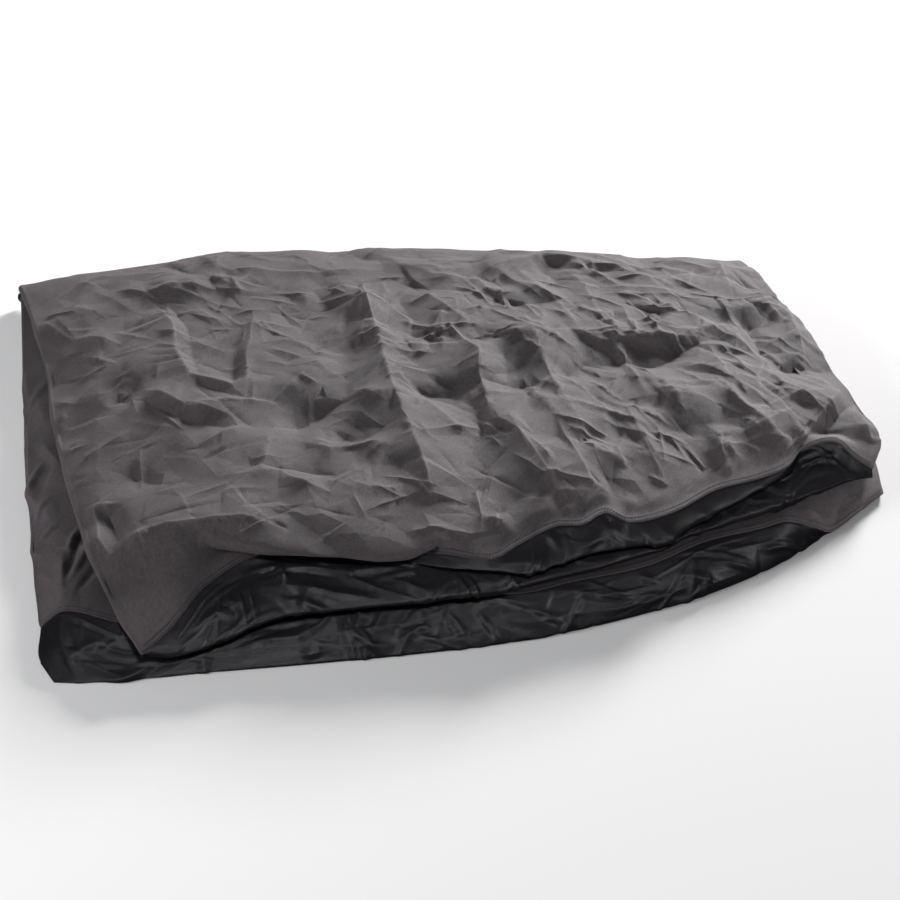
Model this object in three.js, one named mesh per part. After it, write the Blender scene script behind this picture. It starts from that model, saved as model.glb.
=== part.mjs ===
// A personal watercraft cover, folded into a loose pile and lying on a flat surface.
// Millimetres, +Z up. The origin is on the surface, under the middle of the pile's box.
// Two grey side panels meet at a ridge seam along the back. Each carries a black skirt at the front,
// which is folded back and forth, and each has its ends folded under in flat layers.
import * as THREE from "three";

// Driving dimensions
const CLOTH = 2; // thickness of a layer
const SEAM_GAP = 0.6; // between two pieces that are sewn together
const FLOOR = CLOTH / 2; // height of the middle of a layer that lies on the surface
const RIDGE_SHARE = 0.55; // height of the ridge seam, as a share of the back edge's height
const BACK_ROUND = 14; // how far in front of the ridge the top surface begins
const UPPER_COLUMNS = 52; // of the upper panel and its skirt, between their left and right folds
const LOWER_COLUMNS = 38; // of the lower panel and its skirt
const MIDDLE = new THREE.Vector2(-3.5, 5.4); // of the pile's box, in the plan that the tables below use

// A short table: named columns, and one row for each section along the pile.
function table(columns, rows) {
  return { columns, rows, key: rows.map((row) => row[0]) };
}

// Left and right edges of the two panels, seen from above
const UPPER_LEFT = table(["y", "x"], [
  [430, -689], [264, -623], [60, -567], [-94, -520], [-251, -466], [-353, -423], [-420, -388], [-472, -359],
]);
const UPPER_RIGHT = table(["y", "x"], [
  [492, 540], [319, 596], [223, 623], [123, 646], [60, 664], [0, 681], [-40, 685], [-91, 668], [-480, 664],
]);
const LOWER_LEFT = table(["y", "x"], [
  [430, -689], [196, -640], [-85, -583], [-387, -512], [-442, -505], [-486, -476],
]);
const LOWER_RIGHT = table(["y", "x"], [
  [492, 530], [319, 586], [123, 636], [-33, 674], [-98, 688], [-480, 690],
]);

// Sections of the upper panel, from its left fold (u = 0) to its right fold (u = 1).
// Each runs from the ridge at the back, over the top, to the seam with the skirt at the front.
// Lip and tuck make the pleat that rolls over the seam on the left.
const UPPER_PANEL = table(
  [
    "u", "yBack", "zBack", "zQuarter", "zMiddle", "yCrest", "zCrest",
    "yLip", "zLip", "yTuck", "zTuck", "ySeam", "zSeam",
  ],
  [
    [0.0, 428, 44, 59, 66, -215, 70, -353, 68, -420, 57, -470, 40],
    [0.05, 438, 51, 73, 85, -215, 89, -300, 88, -372, 72, -434, 51],
    [0.085, 446, 55, 79, 94, -214, 98, -296, 94, -342, 82, -402, 60],
    [0.12, 455, 58, 84, 98, -215, 104, -292, 97, -326, 82, -366, 66],
    [0.2, 472, 65, 92, 102, -220, 108, -320, 93, -264, 78, -310, 73],
    [0.3, 483, 77, 96, 104, -230, 110, -336, 91, -270, 77, -296, 72],
    [0.38, 484, 80, 97, 104, -224, 109, -333, 91, -290, 80, -308, 76],
    [0.43, 484, 80, 98, 104, -214, 108, -306, 98, -315, 93, -324, 88],
    [0.485, 484, 82, 98, 106, -205, 108, -296, 99, -316, 94, -335, 88],
    [0.525, 484, 83, 98, 107, -190, 109, -268, 101, -290, 96, -308, 91],
    [0.576, 484, 84, 98, 108, -160, 111, -235, 105, -257, 101, -277, 97],
    [0.61, 483, 84, 97, 107, -150, 111, -232, 104, -254, 100, -273, 97],
    [0.643, 482, 83, 96, 106, -140, 110, -205, 105, -228, 101, -249, 98],
    [0.67, 481, 82, 95, 105, -140, 109, -218, 101, -242, 97, -264, 93],
    [0.73, 478, 79, 93, 103, -115, 107, -192, 99, -216, 94, -237, 90],
    [0.79, 475, 76, 89, 100, -72, 104, -140, 96, -163, 91, -184, 86],
    [0.85, 474, 72, 84, 96, -40, 100, -106, 92, -130, 86, -150, 80],
    [0.89, 476, 68, 79, 91, -10, 96, -72, 88, -96, 82, -116, 76],
    [0.91, 477, 66, 77, 88, 5, 93, -40, 86, -58, 81, -76, 75],
    [0.945, 480, 62, 71, 79, 20, 84, -18, 80, -36, 76, -54, 71],
    [0.975, 486, 58, 64, 69, 20, 73, -30, 70, -52, 65, -75, 58],
    [1.0, 492, 55, 57, 60, 20, 62, -40, 59, -64, 54, -86, 46],
  ],
);

// Sections of the upper skirt: flap below the seam, notch where it is pushed in, roll, underside and inner end.
const UPPER_SKIRT = table(
  ["u", "yFlap", "zFlap", "yNotch", "zNotch", "yRoll", "zRoll", "yUnder", "zUnder", "yEnd", "zEnd"],
  [
    [0.0, -469, 36, -467, 33, -464, 31, -459, 29.5, -453, 29.5],
    [0.05, -450, 45, -460, 39, -464, 33, -457, 29, -448, 30],
    [0.12, -392, 61, -418, 55, -442, 45, -432, 35, -396, 44],
    [0.2, -322, 66, -356, 68, -410, 53, -400, 42, -330, 48],
    [0.3, -304, 61, -338, 67, -395, 56, -385, 45, -310, 50],
    [0.38, -320, 70, -330, 69, -386, 59, -377, 47, -300, 51],
    [0.43, -343, 80, -316, 72, -378, 62, -369, 49, -294, 51],
    [0.485, -348, 79, -318, 71, -368, 61, -360, 49, -284, 51],
    [0.527, -352, 78, -316, 70, -354, 61, -346, 49, -274, 51],
    [0.57, -332, 77, -298, 69, -337, 60, -330, 49, -262, 51],
    [0.624, -305, 75, -272, 67, -318, 60, -311, 49, -245, 51],
    [0.69, -286, 72, -250, 66, -287, 59, -281, 49, -215, 51],
    [0.715, -281, 71, -236, 65, -277, 59, -270, 49, -204, 51],
    [0.745, -252, 70, -222, 64, -251, 58, -245, 49, -180, 51],
    [0.79, -213, 68, -186, 63, -227, 57, -221, 49, -158, 51],
    [0.855, -158, 70, -146, 64, -190, 57, -184, 48, -125, 50],
    [0.887, -126, 68, -124, 62, -172, 56, -166, 47, -112, 50],
    [0.91, -84, 66, -94, 60, -155, 54, -149, 46, -100, 49],
    [0.945, -66, 62, -80, 57, -133, 52, -127, 45, -85, 48],
    [0.975, -84, 53, -92, 50, -110, 46, -104, 41, -80, 43],
    [1.0, -90, 43, -93, 41, -96, 39, -92, 36, -80, 36],
  ],
);

// Sections of the lower panel and its skirt: crest, seam, bulge of the front roll, foot and inner end.
const LOWER_PANEL = table(
  ["u", "zMiddle", "yCrest", "zCrest", "ySeam", "zSeam", "yBulge", "zBulge", "yFoot", "yEnd"],
  [
    [0.0, 17, -300, 16, -388, 12, -440, 6, -481, -445],
    [0.03, 34, -300, 39, -386, 40, -434, 24, -482, -385],
    [0.1, 43, -322, 43, -410, 41, -452, 17, -475, -380],
    [0.18, 46, -322, 38, -384, 33, -442, 16, -463, -370],
    [0.3, 48, -315, 39, -366, 35, -428, 20, -447, -350],
    [0.45, 50, -290, 43, -350, 40, -402, 22, -423, -320],
    [0.545, 50, -282, 44, -352, 41, -384, 22, -402, -305],
    [0.604, 50, -275, 44, -329, 41, -366, 22, -383, -285],
    [0.694, 49, -240, 44, -296, 41, -330, 22, -346, -245],
    [0.77, 48, -185, 44, -243, 41, -292, 23, -307, -205],
    [0.838, 47, -160, 43, -214, 40, -246, 22, -261, -160],
    [0.87, 46, -145, 43, -198, 40, -221, 22, -233, -140],
    [0.905, 45, -130, 42, -192, 22, -196, 11, -198, -130],
    [0.925, 44, -122, 40, -184, 8, -180, 4, -172, -122],
    [0.97, 42, -90, 36, -132, 8, -128, 4, -120, -90],
    [1.0, 38, -45, 30, -96, 8, -92, 4, -85, -65],
  ],
);

// Main folds of the top surface, as ridges (rise above 0) and troughs along a line from one point to another.
// Left and right are how far the fold's slopes reach to either side, looking along the line.
const TOP_FOLDS = table(["rise", "x0", "y0", "x1", "y1", "left", "right"], [
  [12, -110, 380, 30, -250, 130, 75],
  [17, -445, 85, -265, -20, 100, 65],
  [13, -300, -165, -110, -170, 80, 60],
  [14, 270, 172, 455, 185, 90, 65],
  [14, 340, 110, 425, -70, 100, 60],
  [10, 160, 215, 275, -215, 75, 75],
  [14, 420, 110, 545, -120, 90, 60],
  [15, 520, 310, 545, 130, 70, 90],
  [13, 95, 0, 215, -270, 90, 65],
  [11, -130, 50, -30, -5, 80, 80],
  [10, 70, 172, 270, 168, 85, 60],
  [12, -425, 145, -485, 15, 80, 60],
  [-13, -460, -175, -340, -130, 75, 75],
  [10, -235, -10, -150, 110, 80, 80],
  [9, -490, 335, -310, 345, 60, 60],
  [9, 100, 400, 440, 335, 60, 60],
]);

const mix = THREE.MathUtils.lerp;
const smooth = (t) => THREE.MathUtils.smoothstep(t, 0, 1);

// The table's columns at a value of its first column, on a smooth cubic through the rows.
function read({ columns, rows, key }, at) {
  const last = key.length - 1;
  const sense = Math.sign(key[last] - key[0]);
  let i = 0;
  while (i < last - 1 && sense * key[i + 1] < sense * at) i += 1;
  const span = key[i + 1] - key[i];
  const t = THREE.MathUtils.clamp((at - key[i]) / span, 0, 1);
  const before = Math.max(i - 1, 0);
  const after = Math.min(i + 2, last);
  const made = {};
  columns.forEach((name, c) => {
    const [a, b] = [rows[i][c], rows[i + 1][c]];
    const slopeA = ((b - rows[before][c]) / (key[i + 1] - key[before])) * span;
    const slopeB = ((rows[after][c] - a) / (key[after] - key[i])) * span;
    made[name] =
      a * (1 + 2 * t) * (1 - t) ** 2 +
      slopeA * t * (1 - t) ** 2 +
      b * t * t * (3 - 2 * t) +
      slopeB * t * t * (t - 1);
  });
  return made;
}

// How high the top surface stands above its plain section: all the folds added up.
function foldHeight(x, y) {
  return TOP_FOLDS.rows.reduce((sum, [rise, x0, y0, x1, y1, left, right]) => {
    const [dx, dy] = [x1 - x0, y1 - y0];
    const length = Math.hypot(dx, dy);
    const along = ((x - x0) * dx + (y - y0) * dy) / length ** 2;
    const side = (dx * (y - y0) - dy * (x - x0)) / length;
    const across = smooth(1 - Math.abs(side) / (side > 0 ? left : right));
    const ends = smooth((0.5 - Math.abs(along - 0.5)) * 4 + 0.5);
    return sum + rise * across * ends;
  }, 0);
}

// A sheet is a set of sections: the curve at u runs through named points from the ridge to the inner end.
class Sheet {
  constructor(left, right, section) {
    Object.assign(this, { left, right, section, made: new Map() });
  }

  curve(u) {
    if (!this.made.has(u)) {
      const points = this.section(u).map(
        ([y, z]) => new THREE.Vector3(mix(read(this.left, y).x, read(this.right, y).x, u), y, z),
      );
      this.made.set(u, new THREE.CatmullRomCurve3(points, false, "centripetal"));
    }
    return this.made.get(u);
  }

  // The point at u, and s named points along the section from the ridge.
  at(u, s) {
    const curve = this.curve(u);
    return curve.getPoint(THREE.MathUtils.clamp(s / (curve.points.length - 1), 0, 1));
  }
}

const CREST = 5; // named points from the ridge, where the upper sheet's top surface ends
const UPPER_SEAM = 8; // where its skirt begins
const LOWER_SEAM = 5; // where the lower sheet's skirt begins

const upperSheet = new Sheet(UPPER_LEFT, UPPER_RIGHT, (u) => {
  const p = read(UPPER_PANEL, u);
  const s = read(UPPER_SKIRT, u);
  const zRidge = RIDGE_SHARE * p.zBack;
  return [
    [p.yBack, zRidge + SEAM_GAP / 2],
    [p.yBack, mix(zRidge, p.zBack, 0.5)],
    [p.yBack - BACK_ROUND, p.zBack],
    [mix(p.yBack, p.yCrest, 0.33), p.zQuarter],
    [mix(p.yBack, p.yCrest, 0.66), p.zMiddle],
    [p.yCrest, p.zCrest],
    [p.yLip, p.zLip],
    [p.yTuck, p.zTuck],
    [p.ySeam, p.zSeam],
    [s.yFlap, s.zFlap],
    [s.yNotch, s.zNotch],
    [s.yRoll, s.zRoll],
    [s.yUnder, s.zUnder],
    [s.yEnd, s.zEnd],
  ];
});

const lowerSheet = new Sheet(LOWER_LEFT, LOWER_RIGHT, (u) => {
  const p = read(LOWER_PANEL, u);
  const { yBack, zBack } = read(UPPER_PANEL, u);
  const zRidge = RIDGE_SHARE * zBack;
  return [
    [yBack, zRidge - SEAM_GAP / 2],
    [yBack, 0.7 * zRidge],
    [yBack - BACK_ROUND, 0.58 * zRidge],
    [mix(yBack, p.yCrest, 0.5), p.zMiddle],
    [p.yCrest, p.zCrest],
    [p.ySeam, p.zSeam],
    [p.yBulge, p.zBulge],
    [p.yFoot, FLOOR],
    [p.yEnd, FLOOR],
  ];
});

// The upper sheet with its main folds, which fade out at the edges of the top.
function upperPoint(u, s) {
  const point = upperSheet.at(u, s);
  const lengthwise = smooth((s - 1.6) / 0.8) * smooth((CREST + 0.9 - s) / 1.2);
  const crosswise = smooth(u * 14) * smooth((1 - u) * 14);
  point.z += lengthwise * crosswise * foldHeight(point.x, point.y);
  return point;
}

const lowerPoint = (u, s) => lowerSheet.at(u, s);

// A hidden layer under a panel, at a share of its height and drawn in from the ridge and from the front.
// Next to a fold at the panel's edge (u = edge) it follows that edge, clear of the two seams.
function underLayer(sheet, seam, { share, back, front, edge, reach }) {
  return (u, s) => {
    const beforeSeam = s < seam - 1 ? s : seam - 1 + 0.35 * (s - seam + 1);
    const atEdge = Math.max(beforeSeam, 1.6 + 0.2 * s);
    const drawnIn = edge === undefined ? 1 : smooth(Math.abs(u - edge) / reach);
    const point = sheet.at(u, mix(atEdge, mix(back, front, s / seam), drawnIn));
    point.z = share === 0 ? FLOOR : share * point.z;
    return point;
  };
}

// The columns of a folded sheet, each a function from s to a point: a level stretch of a layer,
// and the half turn from one layer to the next.
function level(layer, from, to, steps) {
  return Array.from({ length: steps + 1 }, (_, i) => (s) => layer(mix(from, to, i / steps), s));
}

function turn(layerA, layerB, u, outward, steps) {
  return Array.from({ length: steps }, (_, i) => (s) => {
    const angle = (Math.PI * (i + 1)) / (steps + 1);
    const a = layerA(u, s);
    const b = layerB(u, s);
    const radius = Math.abs(a.z - b.z) / 2;
    const centre = a.clone().lerp(b, 0.5);
    const arm = a.sub(centre).multiplyScalar(Math.cos(angle));
    return centre.add(arm).addScaledVector(outward, radius * Math.sin(angle));
  });
}

const TO_LEFT = new THREE.Vector3(-0.94, -0.34, 0);
const TO_RIGHT = new THREE.Vector3(0.97, 0.25, 0);

// From the short end tucked under on the right, over the top, round the left fold and back twice underneath
function upperPanelColumns() {
  const under = (layer) => underLayer(upperSheet, UPPER_SEAM, layer);
  const end = under({ share: 0.9, back: 2.3, front: 5, edge: 1, reach: 0.05 });
  const second = under({ share: 0.77, back: 2.4, front: 4.6, edge: 0, reach: 0.05 });
  const third = under({ share: 0.61, back: 2.4, front: 4.4 });
  return [
    ...level(end, 0.95, 1, 2),
    ...turn(end, upperPoint, 1, TO_RIGHT, 3),
    ...level(upperPoint, 1, 0, UPPER_COLUMNS),
    ...turn(upperPoint, second, 0, TO_LEFT, 4),
    ...level(second, 0, 0.9, 6),
    ...turn(second, third, 0.9, TO_RIGHT, 3),
    ...level(third, 0.9, 0.06, 4),
  ];
}

function lowerPanelColumns() {
  const under = (layer) => underLayer(lowerSheet, LOWER_SEAM, layer);
  const end = under({ share: 0.5, back: 2.3, front: 4.2, edge: 1, reach: 0.05 });
  const second = under({ share: 0.5, back: 2.3, front: 3.7, edge: 0, reach: 0.03 });
  const floor = under({ share: 0, back: 2.3, front: 3.6 });
  return [
    ...level(end, 0.94, 1, 2),
    ...turn(end, lowerPoint, 1, TO_RIGHT, 3),
    ...level(lowerPoint, 1, 0, LOWER_COLUMNS),
    ...turn(lowerPoint, second, 0, TO_LEFT, 3),
    ...level(second, 0, 0.88, 5),
    ...turn(second, floor, 0.88, TO_RIGHT, 3),
    ...level(floor, 0.88, 0.03, 4),
  ];
}

// Rows along a section from s = first: how many steps each stretch between two named points has.
function rowsFrom(first, steps) {
  const rows = [first];
  steps.forEach((count, k) => {
    for (let i = 1; i <= count; i += 1) rows.push(first + k + i / count);
  });
  return rows;
}

const STEP = 0.02; // of s, for slopes along a section

// A closed solid of cloth: a box of columns by rows, laid on the sheet, half its thickness to each side.
// The row that is sewn to the next piece stands back by half the seam's gap.
function clothGeometry(columns, rows, sewnRow) {
  const lastColumn = columns.length - 1;
  const lastRow = rows.length - 1;
  const slope = (column, s) => column(s + STEP).sub(column(Math.max(s - STEP, 0)));
  const place = (column, s, r) => {
    if (r !== sewnRow) return column(s);
    const back = (SEAM_GAP * STEP) / slope(column, s).length();
    return column(r === 0 ? s + back : s - back);
  };
  const points = columns.map((column) => rows.map((s, r) => place(column, s, r)));
  const slopes = columns.map((column) => rows.map((s) => slope(column, s)));
  const geometry = new THREE.BoxGeometry(1, 1, 1, lastColumn, lastRow, 1);
  const position = geometry.getAttribute("position");
  const corner = new THREE.Vector3();
  for (let i = 0; i < position.count; i += 1) {
    corner.fromBufferAttribute(position, i);
    const c = Math.round((corner.x + 0.5) * lastColumn);
    const r = Math.round((corner.y + 0.5) * lastRow);
    const across = points[Math.min(c + 1, lastColumn)][r].clone().sub(points[Math.max(c - 1, 0)][r]);
    const normal = across.cross(slopes[c][r]).normalize();
    const vertex = points[c][r].clone().addScaledVector(normal, corner.z * CLOTH);
    position.setXYZ(i, vertex.x, vertex.y, Math.max(vertex.z, 0));
  }
  geometry.computeVertexNormals();
  return geometry;
}

const GREY_POLYESTER = { color: 0x67625f, roughness: 0.85, metalness: 0 };
const BLACK_NYLON = { color: 0x1f1f22, roughness: 0.5, metalness: 0 };

const UPPER_PANEL_ROWS = rowsFrom(0, [1, 1, 6, 6, 6, 3, 3, 3]);
const UPPER_SKIRT_ROWS = rowsFrom(UPPER_SEAM, [3, 3, 3, 2, 2]);
const LOWER_PANEL_ROWS = rowsFrom(0, [1, 1, 4, 4, 3]);
const LOWER_SKIRT_ROWS = rowsFrom(LOWER_SEAM, [3, 3, 2]);

function piece(name, geometry, look) {
  const mesh = new THREE.Mesh(geometry, new THREE.MeshStandardMaterial(look));
  mesh.name = name;
  return mesh;
}

const upperPanel = clothGeometry(upperPanelColumns(), UPPER_PANEL_ROWS, UPPER_PANEL_ROWS.length - 1);
const upperSkirt = clothGeometry(level(upperPoint, 1, 0, UPPER_COLUMNS), UPPER_SKIRT_ROWS, 0);
const lowerPanel = clothGeometry(lowerPanelColumns(), LOWER_PANEL_ROWS, LOWER_PANEL_ROWS.length - 1);
const lowerSkirt = clothGeometry(level(lowerPoint, 1, 0, LOWER_COLUMNS), LOWER_SKIRT_ROWS, 0);

const pile = new THREE.Group();
pile.position.set(-MIDDLE.x, -MIDDLE.y, 0);
pile.add(
  piece("upper_panel", upperPanel, GREY_POLYESTER),
  piece("upper_skirt", upperSkirt, BLACK_NYLON),
  piece("lower_panel", lowerPanel, GREY_POLYESTER),
  piece("lower_skirt", lowerSkirt, BLACK_NYLON),
);

const cover = new THREE.Group();
cover.name = "watercraft_cover";
cover.add(pile);

export default cover;
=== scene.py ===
# %% [markdown]
# A cover for a personal watercraft, thrown down in a loose folded pile.
# Two grey woven side panels meet at a ridge seam along the back. Each carries a black nylon skirt at the
# front, folded back and forth. The CAD solids give the folds; this script lays finer cloth on them.

import bpy
import numpy as np
from mathutils.geometry import delaunay_2d_cdt
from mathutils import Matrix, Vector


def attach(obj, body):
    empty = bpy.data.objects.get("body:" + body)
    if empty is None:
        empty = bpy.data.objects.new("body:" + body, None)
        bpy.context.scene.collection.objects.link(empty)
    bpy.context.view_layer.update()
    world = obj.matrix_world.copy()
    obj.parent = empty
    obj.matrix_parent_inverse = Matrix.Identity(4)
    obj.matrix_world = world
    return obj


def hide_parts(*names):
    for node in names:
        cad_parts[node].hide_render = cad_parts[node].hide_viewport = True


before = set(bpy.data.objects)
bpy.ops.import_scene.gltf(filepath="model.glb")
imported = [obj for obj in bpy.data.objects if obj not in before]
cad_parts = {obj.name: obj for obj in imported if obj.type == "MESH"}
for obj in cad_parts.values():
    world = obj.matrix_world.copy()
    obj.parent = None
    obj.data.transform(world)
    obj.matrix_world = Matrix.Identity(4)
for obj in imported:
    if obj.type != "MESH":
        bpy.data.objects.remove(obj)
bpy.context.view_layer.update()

# %% [markdown]
# The studio comes first, because every later look is judged in its light. The photograph has a plain white
# ground, a large soft light above and behind on the right, and a camera that looks down at about 38 degrees.
# Area lights are used because their size sets how soft the shading of each crease is. The back light comes
# twice, with and without mirror reflections. Its gleam makes the grey creases crisp, but would make the black
# cloth look like metal, so the last cell says which pieces each light falls on.

# %% Camera, floor and lights
MM = 0.001
CAMERA_AIM = np.array([47.5, -50.4, 50.0]) * MM
CAMERA_DISTANCE = 2.6988
CAMERA_ELEVATION = np.radians(38)
CAMERA_ANGLE = np.radians(28)
FLOOR_HALF = 9.0
FLOOR_BELOW = 0.0004
FLOOR_COLOUR = (0.86, 0.86, 0.87, 1)
FLOOR_GLOW = 0.12
WORLD_COLOUR = (0.95, 0.97, 1.0, 1)
WORLD_GLOW = 0.12


def add_camera():
    """Camera straight in front of the pile: its place is the aim point moved back along the view."""
    data = bpy.data.cameras.new("view")
    data.sensor_width = 36
    data.angle = CAMERA_ANGLE
    camera = bpy.data.objects.new("view", data)
    back = np.array([0, -np.cos(CAMERA_ELEVATION), np.sin(CAMERA_ELEVATION)])
    camera.location = CAMERA_AIM + back * CAMERA_DISTANCE
    camera.rotation_euler = (np.pi / 2 - CAMERA_ELEVATION, 0, 0)
    bpy.context.scene.collection.objects.link(camera)
    bpy.context.scene.camera = camera


def add_soft_light(name, place, aim, size, watts, colour, glossy=True):
    """Square area light at a place, turned towards its aim. It may be kept out of mirror reflections."""
    data = bpy.data.lights.new(name, "AREA")
    data.size = size
    data.energy = watts
    data.color = colour
    light = bpy.data.objects.new(name, data)
    light.location = place
    light.visible_glossy = glossy
    towards = Vector(aim) - Vector(place)
    light.rotation_euler = towards.to_track_quat("-Z", "Y").to_euler()
    bpy.context.scene.collection.objects.link(light)
    return light


def add_floor():
    """Flat square floor, just under the cloth that lies on it."""
    corners = np.array([[-1, -1, 0], [1, -1, 0], [1, 1, 0], [-1, 1, 0]]) * FLOOR_HALF
    corners[:, 2] = -FLOOR_BELOW
    mesh = bpy.data.meshes.new("studio_floor")
    mesh.from_pydata(corners.tolist(), [], [[0, 1, 2, 3]])
    floor = bpy.data.objects.new("studio_floor", mesh)
    bpy.context.scene.collection.objects.link(floor)
    material = bpy.data.materials.new("studio_floor")
    material.use_nodes = True
    surface = material.node_tree.nodes["Principled BSDF"]
    surface.inputs["Base Color"].default_value = FLOOR_COLOUR
    surface.inputs["Roughness"].default_value = 0.9
    surface.inputs["Emission Color"].default_value = (1, 1, 1, 1)
    surface.inputs["Emission Strength"].default_value = FLOOR_GLOW
    mesh.materials.append(material)
    floor.visible_glossy = False
    return floor


add_camera()
studio_floor = add_floor()
BACK_LIGHT = dict(place=(2.8, 5.0, 2.15), aim=(0, 0, 0.05), size=1.5, watts=740, colour=(1.0, 0.98, 0.97))
back_light = add_soft_light("back_light", **BACK_LIGHT)
plain_back_light = add_soft_light("plain_back_light", **BACK_LIGHT, glossy=False)
front_light = add_soft_light(
    "front_light", (0.5, -1.7, 2.5), (0.1, -0.3, 0.03), 0.35, 48, (0.98, 0.97, 1.0))
right_light = add_soft_light(
    "right_light", (1.4, -0.95, 0.4), (0.6, -0.15, 0.03), 0.3, 9, (1.0, 1.0, 1.0), glossy=False)
add_soft_light("left_light", (-3.2, -1.2, 1.4), (0, 0, 0), 1.6, 92, (1.0, 1.0, 1.0), glossy=False)
world = bpy.data.worlds.new("studio")
bpy.context.scene.world = world
world.use_nodes = True
world.cycles_visibility.glossy = False
world.node_tree.nodes["Background"].inputs["Color"].default_value = WORLD_COLOUR
world.node_tree.nodes["Background"].inputs["Strength"].default_value = WORLD_GLOW
bpy.context.scene.view_settings.view_transform = "Standard"
print("camera and lights ready")

# %% [markdown]
# The base of every sheet is the same set of section tables as in the CAD source, in millimetres. Each row is
# one section across the pile, from its left fold (u = 0) to its right fold (u = 1); the columns are where
# that section turns. Cubic curves join the rows, and centripetal splines join the points of a section.

# %% Section tables
CLOTH = 2.0
SEAM_GAP = 0.6
LAID = CLOTH / 2
RIDGE_SHARE = 0.55
BACK_ROUND = 14
MIDDLE = np.array([-3.5, 5.4, 0.0])

UPPER_LEFT = ("y x", [
    [430, -689], [264, -623], [60, -567], [-94, -520], [-251, -466], [-353, -423], [-420, -388], [-472, -359],
])
UPPER_RIGHT = ("y x", [
    [492, 540], [319, 596], [223, 623], [123, 646], [60, 664], [0, 681], [-40, 685], [-91, 668], [-480, 664],
])
LOWER_LEFT = ("y x", [
    [430, -689], [196, -640], [-85, -583], [-387, -512], [-442, -505], [-486, -476],
])
LOWER_RIGHT = ("y x", [
    [492, 530], [319, 586], [123, 636], [-33, 674], [-98, 688], [-480, 690],
])
UPPER_PANEL = ("u y_back z_back z_quarter z_middle y_crest z_crest y_lip z_lip y_tuck z_tuck y_seam z_seam", [
    [0.0, 428, 44, 59, 66, -215, 70, -353, 68, -420, 57, -470, 40],
    [0.05, 438, 51, 73, 85, -215, 89, -300, 88, -372, 72, -434, 51],
    [0.085, 446, 55, 79, 94, -214, 98, -296, 94, -342, 82, -402, 60],
    [0.12, 455, 58, 84, 98, -215, 104, -292, 97, -326, 82, -366, 66],
    [0.2, 472, 65, 92, 102, -220, 108, -320, 93, -264, 78, -310, 73],
    [0.3, 483, 77, 96, 104, -230, 110, -336, 91, -270, 77, -296, 72],
    [0.38, 484, 80, 97, 104, -224, 109, -333, 91, -290, 80, -308, 76],
    [0.43, 484, 80, 98, 104, -214, 108, -306, 98, -315, 93, -324, 88],
    [0.485, 484, 82, 98, 106, -205, 108, -296, 99, -316, 94, -335, 88],
    [0.525, 484, 83, 98, 107, -190, 109, -268, 101, -290, 96, -308, 91],
    [0.576, 484, 84, 98, 108, -160, 111, -235, 105, -257, 101, -277, 97],
    [0.61, 483, 84, 97, 107, -150, 111, -232, 104, -254, 100, -273, 97],
    [0.643, 482, 83, 96, 106, -140, 110, -205, 105, -228, 101, -249, 98],
    [0.67, 481, 82, 95, 105, -140, 109, -218, 101, -242, 97, -264, 93],
    [0.73, 478, 79, 93, 103, -115, 107, -192, 99, -216, 94, -237, 90],
    [0.79, 475, 76, 89, 100, -72, 104, -140, 96, -163, 91, -184, 86],
    [0.85, 474, 72, 84, 96, -40, 100, -106, 92, -130, 86, -150, 80],
    [0.89, 476, 68, 79, 91, -10, 96, -72, 88, -96, 82, -116, 76],
    [0.91, 477, 66, 77, 88, 5, 93, -40, 86, -58, 81, -76, 75],
    [0.945, 480, 62, 71, 79, 20, 84, -18, 80, -36, 76, -54, 71],
    [0.975, 486, 58, 64, 69, 20, 73, -30, 70, -52, 65, -75, 58],
    [1.0, 492, 55, 57, 60, 20, 62, -40, 59, -64, 54, -86, 46],
])
UPPER_SKIRT = ("u y_flap z_flap y_notch z_notch y_roll z_roll y_under z_under y_end z_end", [
    [0.0, -469, 36, -467, 33, -464, 31, -459, 29.5, -453, 29.5],
    [0.05, -450, 45, -460, 39, -464, 33, -457, 29, -448, 30],
    [0.12, -392, 61, -418, 55, -442, 45, -432, 35, -396, 44],
    [0.2, -322, 66, -356, 68, -410, 53, -400, 42, -330, 48],
    [0.3, -304, 61, -338, 67, -395, 56, -385, 45, -310, 50],
    [0.38, -320, 70, -330, 69, -386, 59, -377, 47, -300, 51],
    [0.43, -343, 80, -316, 72, -378, 62, -369, 49, -294, 51],
    [0.485, -348, 79, -318, 71, -368, 61, -360, 49, -284, 51],
    [0.527, -352, 78, -316, 70, -354, 61, -346, 49, -274, 51],
    [0.57, -332, 77, -298, 69, -337, 60, -330, 49, -262, 51],
    [0.624, -305, 75, -272, 67, -318, 60, -311, 49, -245, 51],
    [0.69, -286, 72, -250, 66, -287, 59, -281, 49, -215, 51],
    [0.715, -281, 71, -236, 65, -277, 59, -270, 49, -204, 51],
    [0.745, -252, 70, -222, 64, -251, 58, -245, 49, -180, 51],
    [0.79, -213, 68, -186, 63, -227, 57, -221, 49, -158, 51],
    [0.855, -158, 70, -146, 64, -190, 57, -184, 48, -125, 50],
    [0.887, -126, 68, -124, 62, -172, 56, -166, 47, -112, 50],
    [0.91, -84, 66, -94, 60, -155, 54, -149, 46, -100, 49],
    [0.945, -66, 62, -80, 57, -133, 52, -127, 45, -85, 48],
    [0.975, -84, 53, -92, 50, -110, 46, -104, 41, -80, 43],
    [1.0, -90, 43, -93, 41, -96, 39, -92, 36, -80, 36],
])
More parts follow.
